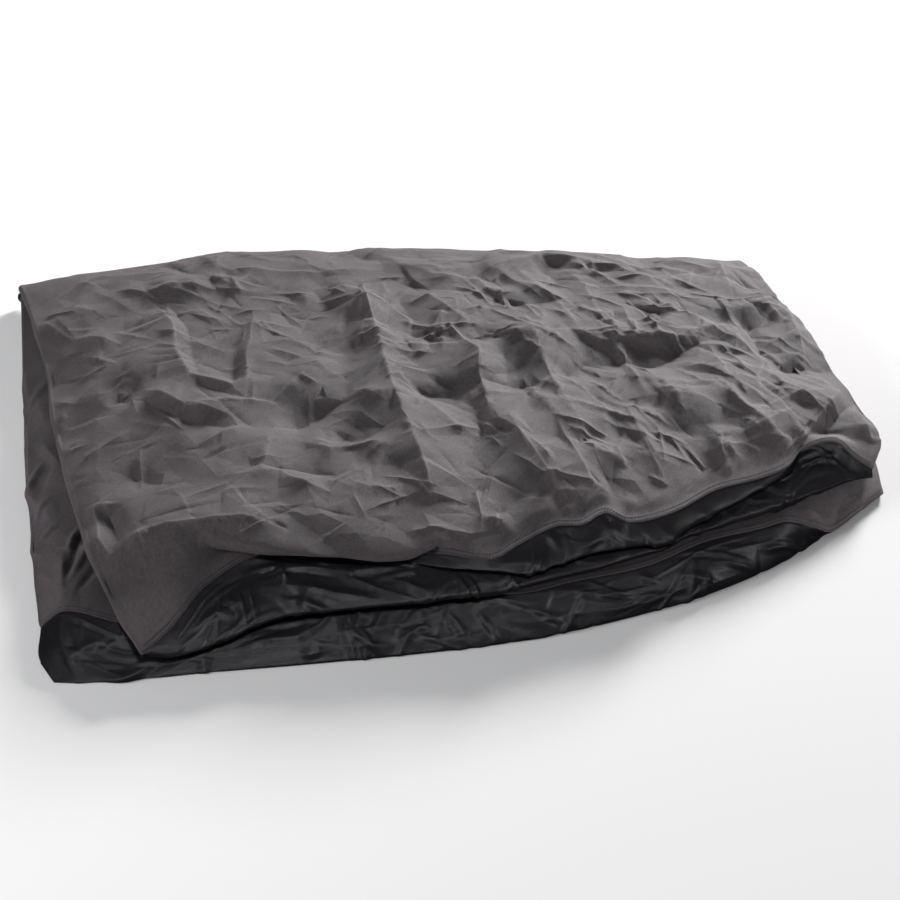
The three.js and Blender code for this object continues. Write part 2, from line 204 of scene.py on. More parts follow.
LOWER_PANEL = ("u z_middle y_crest z_crest y_seam z_seam y_bulge z_bulge y_foot y_end", [
    [0.0, 17, -300, 16, -388, 12, -440, 6, -481, -445],
    [0.03, 34, -300, 39, -386, 40, -434, 24, -482, -385],
    [0.1, 43, -322, 43, -410, 41, -452, 17, -475, -380],
    [0.18, 46, -322, 38, -384, 33, -442, 16, -463, -370],
    [0.3, 48, -315, 39, -366, 35, -428, 20, -447, -350],
    [0.45, 50, -290, 43, -350, 40, -402, 22, -423, -320],
    [0.545, 50, -282, 44, -352, 41, -384, 22, -402, -305],
    [0.604, 50, -275, 44, -329, 41, -366, 22, -383, -285],
    [0.694, 49, -240, 44, -296, 41, -330, 22, -346, -245],
    [0.77, 48, -185, 44, -243, 41, -292, 23, -307, -205],
    [0.838, 47, -160, 43, -214, 40, -246, 22, -261, -160],
    [0.87, 46, -145, 43, -198, 40, -221, 22, -233, -140],
    [0.905, 45, -130, 42, -192, 22, -196, 11, -198, -130],
    [0.925, 44, -122, 40, -184, 8, -180, 4, -172, -122],
    [0.97, 42, -90, 36, -132, 8, -128, 4, -120, -90],
    [1.0, 38, -45, 30, -96, 8, -92, 4, -85, -65],
])
print("sections:", len(UPPER_PANEL[1]), "upper,", len(LOWER_PANEL[1]), "lower")

# %% [markdown]
# The cloth has to lie on the solids, so the tables are read with the same two curves as in the CAD source.
# A Blender curve could be lofted instead, but numpy reads all columns of a sheet at once and leaves its
# rows and columns known, which the creases and the stitches need.

# %% Reading a table, and the spline through a section
def mix(a, b, t):
    """Straight mix from a to b by the share t."""
    return a + (b - a) * t


def smooth(t):
    """Ramp from 0 to 1 with level ends: three t squared less two t cubed."""
    t = np.clip(t, 0, 1)
    return t * t * (3 - 2 * t)


def cubic(a, b, slope_a, slope_b, t):
    """Cubic from a to b with given end slopes: each of the four has a weight that is a cubic in t."""
    return (a * (1 + 2 * t) * (1 - t) ** 2 + slope_a * t * (1 - t) ** 2
            + b * t * t * (3 - 2 * t) + slope_b * t * t * (t - 1))


def read_table(table, at):
    """Columns of a table by name, at values of its first column: a cubic through the rows,
    whose slope at a row is the step from the row before to the row after."""
    names, rows = table[0].split(), np.array(table[1], float)
    key = rows[:, 0]
    last = len(key) - 1
    sense = np.sign(key[last] - key[0])
    i = np.searchsorted(sense * key[1:-1], sense * at, side="left")
    before, after = np.maximum(i - 1, 0), np.minimum(i + 2, last)
    span = (key[i + 1] - key[i])[..., None]
    t = np.clip((at - key[i])[..., None] / span, 0, 1)
    slope_a = (rows[i + 1] - rows[before]) / (key[i + 1] - key[before])[..., None] * span
    slope_b = (rows[after] - rows[i]) / (key[after] - key[i])[..., None] * span
    made = cubic(rows[i], rows[i + 1], slope_a, slope_b, t)
    return {name: made[..., c] for c, name in enumerate(names)}


def spline(points, s):
    """Centripetal spline through each row of points, at s named points from its start.
    Slopes weigh the steps to both neighbours by the square root of their lengths."""
    ends = (2 * points[:, :1] - points[:, 1:2], 2 * points[:, -1:] - points[:, -2:-1])
    line = np.concatenate([ends[0], points, ends[1]], axis=1)
    k = np.clip(np.floor(s).astype(int), 0, points.shape[1] - 2)
    row = np.arange(len(points))[:, None]
    p0, p1, p2, p3 = (line[row, k + j] for j in range(4))
    d0, d1, d2 = (np.sqrt(np.linalg.norm(b - a, axis=-1))[..., None] + 1e-6
                  for a, b in ((p0, p1), (p1, p2), (p2, p3)))
    slope_1 = ((p1 - p0) / d0 - (p2 - p0) / (d0 + d1) + (p2 - p1) / d1) * d1
    slope_2 = ((p2 - p1) / d1 - (p3 - p1) / (d1 + d2) + (p3 - p2) / d2) * d1
    return cubic(p1, p2, slope_1, slope_2, (s - k)[..., None])


def placed(left, right, u, y, z):
    """Section points in the plan: x runs from the left edge to the right edge, at each y, by the share u."""
    y, z = np.stack(y, axis=-1), np.stack(z, axis=-1)
    x = mix(read_table(left, y)["x"], read_table(right, y)["x"], u[:, None])
    return np.stack([x, y, z], axis=-1)


def upper_section(u):
    """Named points of the upper sheet at each u, from the ridge over the top to the skirt's inner end."""
    p, q = read_table(UPPER_PANEL, u), read_table(UPPER_SKIRT, u)
    ridge = RIDGE_SHARE * p["z_back"]
    y = [p["y_back"], p["y_back"], p["y_back"] - BACK_ROUND, mix(p["y_back"], p["y_crest"], 0.33),
         mix(p["y_back"], p["y_crest"], 0.66), p["y_crest"], p["y_lip"], p["y_tuck"], p["y_seam"],
         q["y_flap"], q["y_notch"], q["y_roll"], q["y_under"], q["y_end"]]
    z = [ridge + SEAM_GAP / 2, mix(ridge, p["z_back"], 0.5), p["z_back"], p["z_quarter"],
         p["z_middle"], p["z_crest"], p["z_lip"], p["z_tuck"], p["z_seam"],
         q["z_flap"], q["z_notch"], q["z_roll"], q["z_under"], q["z_end"]]
    return placed(UPPER_LEFT, UPPER_RIGHT, u, y, z)


def lower_section(u):
    """Named points of the lower sheet at each u, from the ridge to the skirt's inner end on the floor."""
    p, q = read_table(LOWER_PANEL, u), read_table(UPPER_PANEL, u)
    ridge = RIDGE_SHARE * q["z_back"]
    flat = np.full_like(u, LAID)
    y = [q["y_back"], q["y_back"], q["y_back"] - BACK_ROUND, mix(q["y_back"], p["y_crest"], 0.5),
         p["y_crest"], p["y_seam"], p["y_bulge"], p["y_foot"], p["y_end"]]
    z = [ridge - SEAM_GAP / 2, 0.7 * ridge, 0.58 * ridge, p["z_middle"],
         p["z_crest"], p["z_seam"], p["z_bulge"], flat, flat]
    return placed(LOWER_LEFT, LOWER_RIGHT, u, y, z)


def laid_top(section, u, s):
    """The section's own surface at columns u and rows s."""
    return spline(section(u), np.broadcast_to(s, (len(u), len(s))))


CREST, UPPER_SEAM, LOWER_SEAM = 5, 8, 5
print("upper section at the middle:", upper_section(np.array([0.5]))[0, CREST].round(0))

# %% [markdown]
# Most creases lie where the photograph shows them. Each was picked there, as a few pixels along its
# line, and the studio's camera says which place of the cloth a pixel shows. The other lines are in
# millimetres: they were set or moved, or the cloth under them was moved since. Rises and reaches are
# millimetres in every row.

# %% From a pixel of the photograph to a place on the cloth
PHOTO_SIDE = 900
READ_STEP = 5
PIXELS = "pixels of the photograph"
PLACES = "millimetres on the cloth"


def seen_at(points):
    """Pixel of the photograph at which each point shows, and its distance along the view: sideways and
    upward offsets from the camera over that distance, times the pixels for one unit of slope."""
    view = np.array([0, np.cos(CAMERA_ELEVATION), -np.sin(CAMERA_ELEVATION)])
    up = np.array([0, np.sin(CAMERA_ELEVATION), np.cos(CAMERA_ELEVATION)])
    away = points - MIDDLE - (CAMERA_AIM - view * CAMERA_DISTANCE) / MM
    deep = away @ view
    half = PHOTO_SIDE / 2
    scale = half / np.tan(CAMERA_ANGLE / 2) / deep
    return half + away[..., 0] * scale, half - (away @ up) * scale, deep


def read_off(lines, points, places, slack=0.0, least=0.0):
    """Creases from rows of name, unit, rise, reaches and line. A pixel becomes the place of the point that
    shows there, to the nearest READ_STEP. Of all the points within a slack of the nearest one, or within a
    least distance, both in pixels, the one closest to the camera counts."""
    x, y, deep = seen_at(points)
    flat_places = places.reshape(-1, 2)

    def place_at(px, py):
        """Place of the point that shows at one pixel."""
        off = np.hypot(x - px, y - py)
        near = off <= max(off.min() + slack, least)
        place = flat_places[np.argmin(np.where(near, deep, np.inf))]
        return tuple(READ_STEP * np.round(place / READ_STEP))

    return [(rise, left, right, [place_at(*pixel) for pixel in line] if unit == PIXELS else line)
            for _, unit, rise, left, right, line in lines]


print("one unit of slope is", round(PHOTO_SIDE / 2 / np.tan(CAMERA_ANGLE / 2)), "pixels")

# %% [markdown]
# Coated polyester doesn't drape in round waves. It creases: straight, sharp ridges with flat facets between
# them, some of them pressed in when the cover was packed. Each crease here is a line in the plan with a rise
# and a reach to either side. Its cross-section is a cusp, steep at the line and level at the foot, which
# gives facets that a noise texture can't. A row with no rise only pins the foot of a ridge.

# %% Folds and creases of the top
# Rise, reach to the left and to the right of the line, and the line's points in the plan
FOLDS = [
    (12, 130, 75, [(-110, 380), (30, -250)]),
    (17, 100, 65, [(-445, 85), (-265, -20)]),
    (13, 80, 60, [(-300, -165), (-110, -170)]),
    (14, 90, 65, [(270, 172), (455, 185)]),
    (14, 100, 60, [(340, 110), (425, -70)]),
    (10, 75, 75, [(160, 215), (275, -215)]),
    (14, 90, 60, [(420, 110), (545, -120)]),
    (15, 70, 90, [(520, 310), (545, 130)]),
    (13, 90, 65, [(95, 0), (215, -270)]),
    (11, 80, 80, [(-130, 50), (-30, -5)]),
    (10, 85, 60, [(70, 172), (270, 168)]),
    (12, 80, 60, [(-425, 145), (-485, 15)]),
    (-13, 75, 75, [(-460, -175), (-340, -130)]),
    (10, 80, 80, [(-235, -10), (-150, 110)]),
    (9, 60, 60, [(-490, 335), (-310, 345)]),
    (9, 60, 60, [(100, 400), (440, 335)]),
]
# The same, after a name and the unit of the line's points
CREASE_LINES = [
    ("left bank", PIXELS, 9, 60, 26, [(143, 382), (180, 404), (200, 410), (230, 414)]),
    ("left dent edge", PIXELS, -7, 45, 40, [(143, 365), (130, 380), (118, 392), (105, 402)]),
    ("bank upper", PIXELS, 4, 40, 20, [(190, 403), (205, 398), (230, 399), (275, 399)]),
    ("bank lower light", PIXELS, 5, 22, 30, [(245, 425), (232, 437), (200, 447)]),
    ("light polygon edge", PIXELS, 6, 70, 40,
     [(158, 310), (173, 330), (178, 355), (190, 375), (232, 384), (247, 398)]),
    ("hollow left side", PIXELS, 4, 30, 40, [(275, 427), (262, 460), (255, 468)]),
    ("hollow ridge", PLACES, 8, 50, 24, [(-260, -185), (-195, -183), (-180, -200), (-125, -225)]),
    ("slant a", PIXELS, -6, 50, 26, [(275, 427), (300, 420), (345, 400)]),
    ("slant b", PIXELS, 7, 45, 60, [(275, 400), (318, 367), (345, 378)]),
    ("front left a", PIXELS, 5, 30, 40, [(225, 480), (245, 507), (260, 520), (290, 532)]),
    ("front left fold", PLACES, 4, 30, 35, [(-335, -215), (-310, -270), (-300, -290)]),
    ("dent", PLACES, -5, 45, 45, [(-450, -135), (-400, -160), (-355, -190)]),
    ("edge small", PIXELS, 3, 25, 20, [(95, 505), (118, 505)]),
    ("wedge", PLACES, 5, 40, 20, [(-555, 210), (-515, 195), (-475, 175)]),
    ("back left", PLACES, 7, 50, 18, [(-455, 335), (-400, 330), (-340, 320)]),
    ("back left b", PIXELS, 3, 30, 18, [(75, 285), (105, 290)]),
    ("back left c", PIXELS, 4, 35, 18, [(110, 293), (145, 293), (162, 305)]),
    ("back left d", PIXELS, 4, 35, 20, [(65, 308), (110, 320)]),
    ("back left e", PIXELS, 4, 30, 20, [(42, 322), (75, 343)]),
    ("back f", PIXELS, 4, 24, 18, [(203, 257), (228, 277)]),
    ("back g", PIXELS, 4, 30, 20, [(190, 275), (235, 287), (250, 278), (270, 288)]),
    ("back h", PIXELS, 3, 24, 16, [(290, 300), (320, 300)]),
    ("vertical a", PIXELS, 4, 30, 28, [(253, 318), (248, 360), (247, 395)]),
    ("vertical b", PIXELS, -3, 20, 26, [(235, 350), (232, 385)]),
    ("long", PIXELS, 9, 40, 80, [(362, 285), (380, 345), (390, 380), (412, 440), (435, 505)]),
    ("middle inner bank", PIXELS, 6, 40, 34, [(352, 388), (395, 404)]),
    ("middle cross a", PIXELS, 4, 40, 26, [(345, 354), (375, 346), (455, 347), (478, 337)]),
    ("middle valley a", PIXELS, -5, 26, 45, [(390, 380), (420, 386), (472, 392)]),
    ("middle slant", PIXELS, 5, 50, 30, [(415, 388), (460, 430), (473, 447)]),
    ("middle narrow valley", PIXELS, -6, 20, 26, [(475, 395), (483, 435)]),
    ("middle ridge", PIXELS, 8, 60, 50,
     [(478, 337), (480, 380), (495, 420), (520, 435), (547, 475), (570, 520)]),
    ("middle back a", PIXELS, 6, 50, 28, [(400, 300), (430, 302), (465, 325), (478, 335)]),
    ("middle cross b", PIXELS, 5, 40, 18,
     [(480, 338), (520, 332), (531, 336), (570, 330), (600, 340), (630, 340)]),
    ("middle right long", PIXELS, 6, 50, 44, [(518, 310), (555, 380), (573, 412), (605, 482)]),
    ("middle right b", PIXELS, 6, 44, 34, [(538, 383), (565, 440), (592, 490), (620, 518)]),
    ("middle valley b", PIXELS, -5, 26, 45, [(482, 384), (535, 381), (570, 370), (585, 363)]),
    ("middle back b", PIXELS, 4, 28, 18, [(495, 287), (507, 312)]),
    ("middle back c", PIXELS, 4, 30, 18, [(470, 278), (497, 300)]),
    ("back roll", PLACES, 5, 26, 30, [(85, 365), (195, 425), (305, 400), (360, 360), (440, 350)]),
    ("back roll end", PLACES, 3, 18, 24, [(440, 350), (455, 425)]),
    ("middle back d", PIXELS, 5, 36, 24, [(520, 270), (560, 310), (590, 342)]),
    ("middle back e", PIXELS, 4, 34, 22, [(558, 265), (585, 290), (612, 340), (622, 362)]),
    ("middle back f", PIXELS, 3, 30, 18, [(555, 278), (640, 302)]),
    ("front a", PIXELS, 4, 30, 20, [(548, 478), (560, 495), (605, 508)]),
    ("front b", PIXELS, 4, 26, 22, [(590, 440), (625, 468)]),
    ("front c", PIXELS, 5, 28, 22, [(475, 490), (487, 545)]),
    ("front d", PIXELS, 4, 24, 18, [(497, 515), (502, 540)]),
    ("right wedge top", PLACES, 6, 50, 22, [(280, 155), (445, 177)]),
    ("right wedge low", PLACES, -5, 40, 45, [(275, 105), (360, 110), (445, 172)]),
    ("right slope", PIXELS, 7, 55, 34, [(650, 370), (680, 400), (705, 425)]),
    ("right thin", PIXELS, 4, 24, 16, [(625, 405), (680, 432)]),
    ("right long", PIXELS, 5, 40, 40, [(618, 395), (640, 440), (673, 505)]),
    ("right front", PIXELS, 4, 30, 20, [(705, 425), (730, 452), (745, 470)]),
    ("right corner", PLACES, 8, 50, 28, [(410, 65), (460, 0), (530, -75), (545, -85)]),
    ("right end a", PIXELS, 5, 22, 34, [(710, 345), (735, 385), (752, 402)]),
    ("right end b", PIXELS, 4, 24, 16, [(730, 355), (758, 378)]),
    ("right end c", PIXELS, 4, 22, 22, [(765, 355), (758, 378), (762, 403)]),
    ("right facet a", PIXELS, 6, 40, 20, [(745, 304), (778, 303)]),
    ("right facet b", PIXELS, -8, 75, 45, [(745, 304), (765, 345), (768, 360)]),
    ("right facet c", PIXELS, -7, 50, 34, [(768, 360), (825, 371)]),
    ("right facet d", PLACES, 7, 16, 24, [(595, 320), (600, 130)]),
    ("right back a", PIXELS, 4, 22, 18, [(715, 262), (732, 300)]),
    ("right back b", PIXELS, 3, 22, 16, [(655, 308), (680, 315)]),
    ("right broad", PIXELS, 6, 60, 50, [(600, 288), (680, 315), (755, 350)]),
    ("corner edge", PIXELS, 7, 60, 16, [(795, 462), (805, 440), (812, 428), (838, 396)]),
    ("corner valley", PIXELS, -9, 16, 40, [(806, 458), (818, 442), (828, 430), (850, 404)]),
    ("lobe light", PIXELS, 4, 25, 20, [(850, 404), (862, 425), (870, 448)]),
    ("right corner roll a", PIXELS, 4, 26, 20, [(745, 415), (790, 400), (830, 390)]),
    ("right corner roll b", PIXELS, 4, 24, 18, [(720, 440), (765, 425), (800, 405)]),
    ("right corner roll c", PIXELS, 3, 22, 16, [(700, 455), (740, 445), (775, 432)]),
    ("lip top", PIXELS, 6, 45, 22, [(140, 530), (190, 527), (245, 523), (290, 530)]),
    ("lip end", PLACES, 5, 20, 30, [(-385, -280), (-375, -305)]),
    ("left edge b", PLACES, 4, 24, 30, [(-460, -210), (-440, -280), (-420, -315)]),
    ("left edge valley", PLACES, -6, 25, 25, [(-450, -200), (-430, -250), (-415, -290)]),
    ("hollow valley", PLACES, -7, 50, 15, [(-235, -165), (-180, -170), (-115, -185)]),
    ("wavy a", PIXELS, 4, 30, 18, [(300, 440), (330, 450), (365, 447), (400, 470)]),
    ("wavy b", PIXELS, 4, 28, 18, [(340, 475), (370, 490), (395, 492), (420, 505)]),
    ("wavy c", PIXELS, -4, 26, 26, [(330, 430), (355, 440), (380, 432)]),
    ("back row a", PIXELS, 4, 26, 16, [(290, 262), (330, 275), (380, 270)]),
    ("back row b", PIXELS, 4, 26, 16, [(380, 262), (430, 275), (470, 268)]),
    ("back row c", PIXELS, 3, 22, 16, [(330, 290), (360, 285)]),
    ("back row d", PIXELS, 4, 26, 16, [(430, 290), (465, 300), (500, 290)]),
    ("back row e", PIXELS, 4, 26, 16, [(600, 290), (640, 300), (690, 296)]),
    ("back row f", PIXELS, 4, 26, 18, [(640, 320), (690, 330), (740, 322)]),
    ("front e", PIXELS, 4, 28, 18, [(400, 470), (430, 495), (470, 505)]),
    ("front f", PIXELS, 3, 24, 16, [(520, 500), (560, 512)]),
    ("front g", PIXELS, 4, 28, 18, [(620, 440), (660, 465), (690, 470)]),
    ("front h", PIXELS, 4, 28, 18, [(560, 440), (600, 450), (640, 478)]),
    ("foot of the left bank", PLACES, 0, 20, 20, [(-415, 8), (-352, -42), (-318, -56), (-285, -64)]),
    ("foot of the light facet", PLACES, 0, 20, 20,
     [(-404, 270), (-372, 205), (-356, 122), (-330, 40), (-278, 10)]),
]
print(len(FOLDS), "broad folds and", len(CREASE_LINES), "crease lines")


# %% [markdown]
# The height of a crease at a point depends on the distance from its line, on the side of the line and on how
# near the line ends. It is worked out for all points at once, one crease after another. Sculpting could
# give the same ridges, but not twice in the same way.

# %% Height of folds and creases
def line_distance(x, y, line):
    """Distance from plan points to a line of points, the side they lie on (left is positive), and how far
    along the line the nearest place is from its nearer end."""
    points = np.array(line, float)
    steps = np.diff(points, axis=0)
    lengths = np.hypot(*steps.T)
    starts = np.concatenate([[0], np.cumsum(lengths)])
    near = np.full(x.shape, np.inf)
    side, run = np.zeros_like(x), np.zeros_like(x)
    for (px, py), (dx, dy), length, start in zip(points, steps, lengths, starts):
        t = np.clip(((x - px) * dx + (y - py) * dy) / length ** 2, 0, 1)
        away = np.hypot(x - px - t * dx, y - py - t * dy)
        closer = away < near
        near = np.where(closer, away, near)
        side = np.where(closer, dx * (y - py) - dy * (x - px), side)
        run = np.where(closer, start + t * length, run)
    return near, side, np.minimum(run, starts[-1] - run), starts[-1]


def fold_height(x, y):
    """Broad folds of the top, as in the solids: a smooth ridge along a line, faded out past its ends."""
    height = np.zeros_like(x)
    for rise, left, right, ((x0, y0), (x1, y1)) in FOLDS:
        dx, dy = x1 - x0, y1 - y0
        length = np.hypot(dx, dy)
        along = ((x - x0) * dx + (y - y0) * dy) / length ** 2
        side = (dx * (y - y0) - dy * (x - x0)) / length
        across = smooth(1 - np.abs(side) / np.where(side > 0, left, right))
        height += rise * across * smooth((0.5 - np.abs(along - 0.5)) * 4 + 0.5)
    return height


EDGE_FADE = 14
PICK_GRID = (700, 600)
PICK_ROWS = (1.5, 6.2)


def from_edges(u):
    """0 at the left and right edges of a sheet, and 1 a little way in."""
    return smooth(u * EDGE_FADE) * smooth((1 - u) * EDGE_FADE)


def broad_folds(x, y, s, edge):
    """Broad folds of the top, faded out at its back and front, and at its edges, where edge is 0."""
    return smooth((s - 1.6) / 0.8) * smooth((CREST + 0.9 - s) / 1.2) * edge * fold_height(x, y)


def solid_top():
    """Close-set points of the top, with its broad folds as high as in the solids."""
    u, s = np.linspace(0, 1, PICK_GRID[0]), np.linspace(*PICK_ROWS, PICK_GRID[1])
    points = laid_top(upper_section, u, s)
    points[..., 2] += broad_folds(points[..., 0], points[..., 1], s, from_edges(u)[:, None])
    return points


TOP_POINTS = solid_top()
CREASES = read_off(CREASE_LINES, TOP_POINTS, TOP_POINTS[..., :2])
CREASE_TAPER = 70.0
TAPER_SHARE = 0.4
CREASE_END = 0.2
CREASE_CUSP = 1.5
HIGHLIGHT_REACH = 3.0


def crease_height(x, y, creases):
    """Height of many creases, and the painted highlight along their ridges. Each is its rise times one less
    the distance over the reach on that side, to a power, which is steep at the line and level at the foot,
    and it tapers to its ends. Creases add up. The painted highlight is 1 on a ridge's line and 0 a little way
    off."""
    height, painted_light_mask = np.zeros_like(x), np.zeros_like(x)
    for rise, left, right, line in creases:
        near, side, inside, total = line_distance(x, y, line)
        taper = np.clip(inside / min(TAPER_SHARE * total, CREASE_TAPER) + CREASE_END, 0, 1)
        foot = np.clip(1 - near / np.where(side > 0, left, right), 0, 1)
        height += rise * taper * foot ** CREASE_CUSP
        # painted highlight: a pale line along each ridge, where light catches it
        if rise > 0:
            painted_light_mask = np.maximum(painted_light_mask, taper * np.clip(1 - near / HIGHLIGHT_REACH, 0, 1))
    return height, painted_light_mask


print(len(CREASES), "creases, most of them read off the photograph")

# %% [markdown]
# Between two creases the cloth is flat, but seldom level. A net of triangles with the creases as edges spans
# such facets from one crease to the next. Blender's own delaunay_2d_cdt makes it, because it keeps the edges
# that it is given. A finer net at random wrinkles the facets, and so do small loose creases.

# %% Nets of facets and loose creases
NODE_STEP = 60
SETTLE_ROUNDS, SETTLE_PULL = 60, 0.15
NET_WIDE, NET_DEEP, NET_MARGIN = 760, 580, 20
NET_BORDER = np.array([(x, y) for x in range(-NET_WIDE, NET_WIDE + 1, 190) for y in (-NET_DEEP, NET_DEEP)]
                      + [(x, y) for x in (-NET_WIDE, NET_WIDE) for y in range(-390, 391, 195)], float)


def loose_net(seed, pitch, stretch, lean, rise):
    """Net of random facets: nodes on a shaken grid that is stretched along a lean, in degrees. A height is
    a random number times the root of its size, so that most facets are slight and a few are steep."""
    draw = np.random.default_rng(seed)
    reach = np.arange(-1100, 1101, pitch)
    along, across = np.meshgrid(reach * stretch, reach)
    along = along + pitch * stretch * draw.uniform(-0.45, 0.45, along.shape)
    across = across + pitch * draw.uniform(-0.45, 0.45, across.shape)
    turn = np.radians(lean)
    x = along * np.cos(turn) - across * np.sin(turn)
    y = along * np.sin(turn) + across * np.cos(turn)
    inside = (np.abs(x) < NET_WIDE - NET_MARGIN) & (np.abs(y) < NET_DEEP - NET_MARGIN)
    points = np.concatenate([np.stack([x[inside], y[inside]], axis=-1), NET_BORDER])
    points, triangles, _, _ = triangulated(points, [], 1.0)
    random = draw.normal(size=len(points))
    height = rise * np.clip(random * np.sqrt(np.abs(random)), -1.5, 1.5)
    held = np.abs(points).max(axis=1) >= NET_WIDE - NET_MARGIN / 2
    return points, np.where(held, 0, height), triangles


def triangulated(points, edges, merge):
    """Well-shaped triangles over points that keep the given edges: the points with crossings added, the
    triangles, for each point which of the given ones it was, or -1, and the kept edges as they now run."""
    made, pairs, faces, source, kept, _ = delaunay_2d_cdt([Vector(p) for p in points], edges, [], 0, merge)
    first = np.array([s[0] if s else -1 for s in source])
    lines = np.array([pair for pair, given in zip(pairs, kept) if given]).reshape(-1, 2)
    return np.array([tuple(v) for v in made]), np.array(faces), first, lines


def apart(points, others):
    """Distance from each point to the nearest of the others, in the plan."""
    return np.min(np.hypot(*(points[:, None] - others[None]).T), axis=0)


def edges_of(triangles):
    """Each edge of the triangles once, as a pair of point numbers."""
    pairs = np.concatenate([triangles[:, [0, 1]], triangles[:, [1, 2]], triangles[:, [2, 0]]])
    return np.unique(np.sort(pairs, axis=1), axis=0)


def values_at(at, run, values):
    """Rows of values at places along a run, mixed in a straight line from one row to the next."""
    return np.stack([np.interp(at, run, column) for column in values.T], axis=-1)


def crease_nodes(creases):
    """Nodes of a crease net: along each crease, one at most every NODE_STEP, at its rise, which tapers to
    the ends. Gives nodes, heights and edges."""
    nodes, heights, edges = [], [], []
    for rise, _, _, line in creases:
        points = np.array(line, float)
        lengths = np.concatenate([[0], np.cumsum(np.hypot(*np.diff(points, axis=0).T))])
        even = np.linspace(0, lengths[-1], 3 + int(lengths[-1] / NODE_STEP))
        at = np.unique(np.concatenate([lengths, even]))
        inside = np.minimum(at, lengths[-1] - at) / min(TAPER_SHARE * lengths[-1], CREASE_TAPER)
        edges += [(k, k + 1) for k in range(len(nodes), len(nodes) + len(at) - 1)]
        nodes += values_at(at, lengths, points).tolist()
        heights += (rise * np.clip(inside + CREASE_END, 0, 1)).tolist()
    return np.array(nodes), np.array(heights), edges


def crease_net(creases, seed, pitch, rise, steepest):
    """Net with the creases as edges. Loose nodes with random heights lie between them, so that flat facets
    span from one crease to the next. The heights settle until no edge is too steep."""
    draw = np.random.default_rng(seed)
    nodes, heights, edges = crease_nodes(creases)
    wide, deep = NET_WIDE - 2 * NET_MARGIN, NET_DEEP - 2 * NET_MARGIN
    spread = np.meshgrid(np.arange(-wide, wide + 1, pitch), np.arange(-deep, deep + 1, pitch))
    x, y = (g.ravel() for g in spread)
    loose = np.stack([x, y], axis=-1) + pitch * draw.uniform(-0.42, 0.42, (len(x), 2))
    loose = loose[apart(loose, nodes) > 0.5 * pitch]
    heights = np.concatenate([heights, rise * draw.normal(size=len(loose)), np.zeros(len(NET_BORDER))])
    made, triangles, source, _ = triangulated(np.concatenate([nodes, loose, NET_BORDER]), edges, 6.0)
    near = np.argmin(np.hypot(*(made[:, None] - nodes[None]).T), axis=0)
    heights = np.where(source < 0, heights[near], heights[source])
    a, b = edges_of(triangles).T
    longest = steepest * np.hypot(*(made[b] - made[a]).T)
    for _ in range(SETTLE_ROUNDS):
        step = heights[b] - heights[a]
        pull = SETTLE_PULL * np.sign(step) * np.maximum(np.abs(step) - longest, 0)
        heights = heights + np.bincount(a, pull, len(heights)) - np.bincount(b, pull, len(heights))
    return made, heights, triangles


def net_height(net, x, y):
    """Height of a net at plan points: inside each triangle, the mix of its corners by area shares."""
    points, height, triangles = net
    made = np.zeros(x.size)
    order = np.argsort(x.ravel())
    sorted_x, sorted_y = x.ravel()[order], y.ravel()[order]
    for a, b, c in triangles:
        (ax, ay), (bx, by), (cx, cy) = points[a], points[b], points[c]
        lo, hi = np.searchsorted(sorted_x, (min(ax, bx, cx), max(ax, bx, cx)))
        area = (bx - ax) * (cy - ay) - (cx - ax) * (by - ay)
        if lo == hi or abs(area) < 1e-9:
            continue
        px, py = sorted_x[lo:hi] - ax, sorted_y[lo:hi] - ay
        share_b = (px * (cy - ay) - (cx - ax) * py) / area
        share_c = ((bx - ax) * py - px * (by - ay)) / area
        hit = (share_b >= -1e-9) & (share_c >= -1e-9) & (share_b + share_c <= 1 + 1e-9)
        value = height[a] + share_b * (height[b] - height[a]) + share_c * (height[c] - height[a])
        made[lo:hi][hit] = value[hit]
    back = np.empty_like(made)
    back[order] = made
    return back.reshape(x.shape)


def loose_creases(seed, count, box, rise, length, reach, lean, spread):
    """Small random creases in a box (x0, x1, y0, y1): rises, lengths and reaches drawn between two values,
    and directions about a lean, in degrees. The seed makes them the same in every run."""
    draw = np.random.default_rng(seed)
    x = draw.uniform(box[0], box[1], count)
    y = draw.uniform(box[2], box[3], count)
    angle = np.radians(lean + spread * draw.normal(size=count))
    half = draw.uniform(*length, count) / 2
    high = draw.uniform(*rise, count) * draw.choice([-0.7, 1, 1], count)
    left, right = draw.uniform(*reach, count), draw.uniform(*reach, count)
    dx, dy = half * np.cos(angle), half * np.sin(angle)
    return [(h, a, b, [(px - ex, py - ey), (px + ex, py + ey)])
            for h, a, b, px, py, ex, ey in zip(high, left, right, x, y, dx, dy)]


print("border of a net:", len(NET_BORDER), "points")

# %% [markdown]
# A sheet is a grid: columns along the pile, rows from the ridge to the inner end. A panel is longer than the
# pile, so its columns go over the top, round the left fold and back underneath, as the solids do. The cloth
# gets a real thickness: the outer grid is fine, and the hidden inner grid takes every third point of it.

# %% Layers and turns of a folded panel
TO_LEFT = np.array([-0.94, -0.34, 0])
TO_RIGHT = np.array([0.97, 0.25, 0])


def rows_from(first, steps):
    """Values of s along a section: each stretch between two named points is cut into so many steps."""
    parts = [first + k + np.arange(1, n + 1) / n for k, n in enumerate(steps)]
    return np.concatenate([[float(first)], *parts])


def under_layer(section, seam, u, s, share, back, front, edge=None, reach=1.0):
    """Hidden layer under a panel: the section at a share of its height, drawn in from ridge and front.
    Next to a fold at u = edge it follows that edge, clear of the two seams."""
    before = np.where(s < seam - 1, s, seam - 1 + 0.35 * (s - seam + 1))
    at_edge = np.maximum(before, 1.6 + 0.2 * s)
    drawn = np.ones_like(u) if edge is None else smooth(np.abs(u - edge) / reach)
    points = spline(section(u), mix(at_edge, mix(back, front, s / seam), drawn[:, None]))
    points[..., 2] = LAID if share == 0 else share * points[..., 2]
    return points


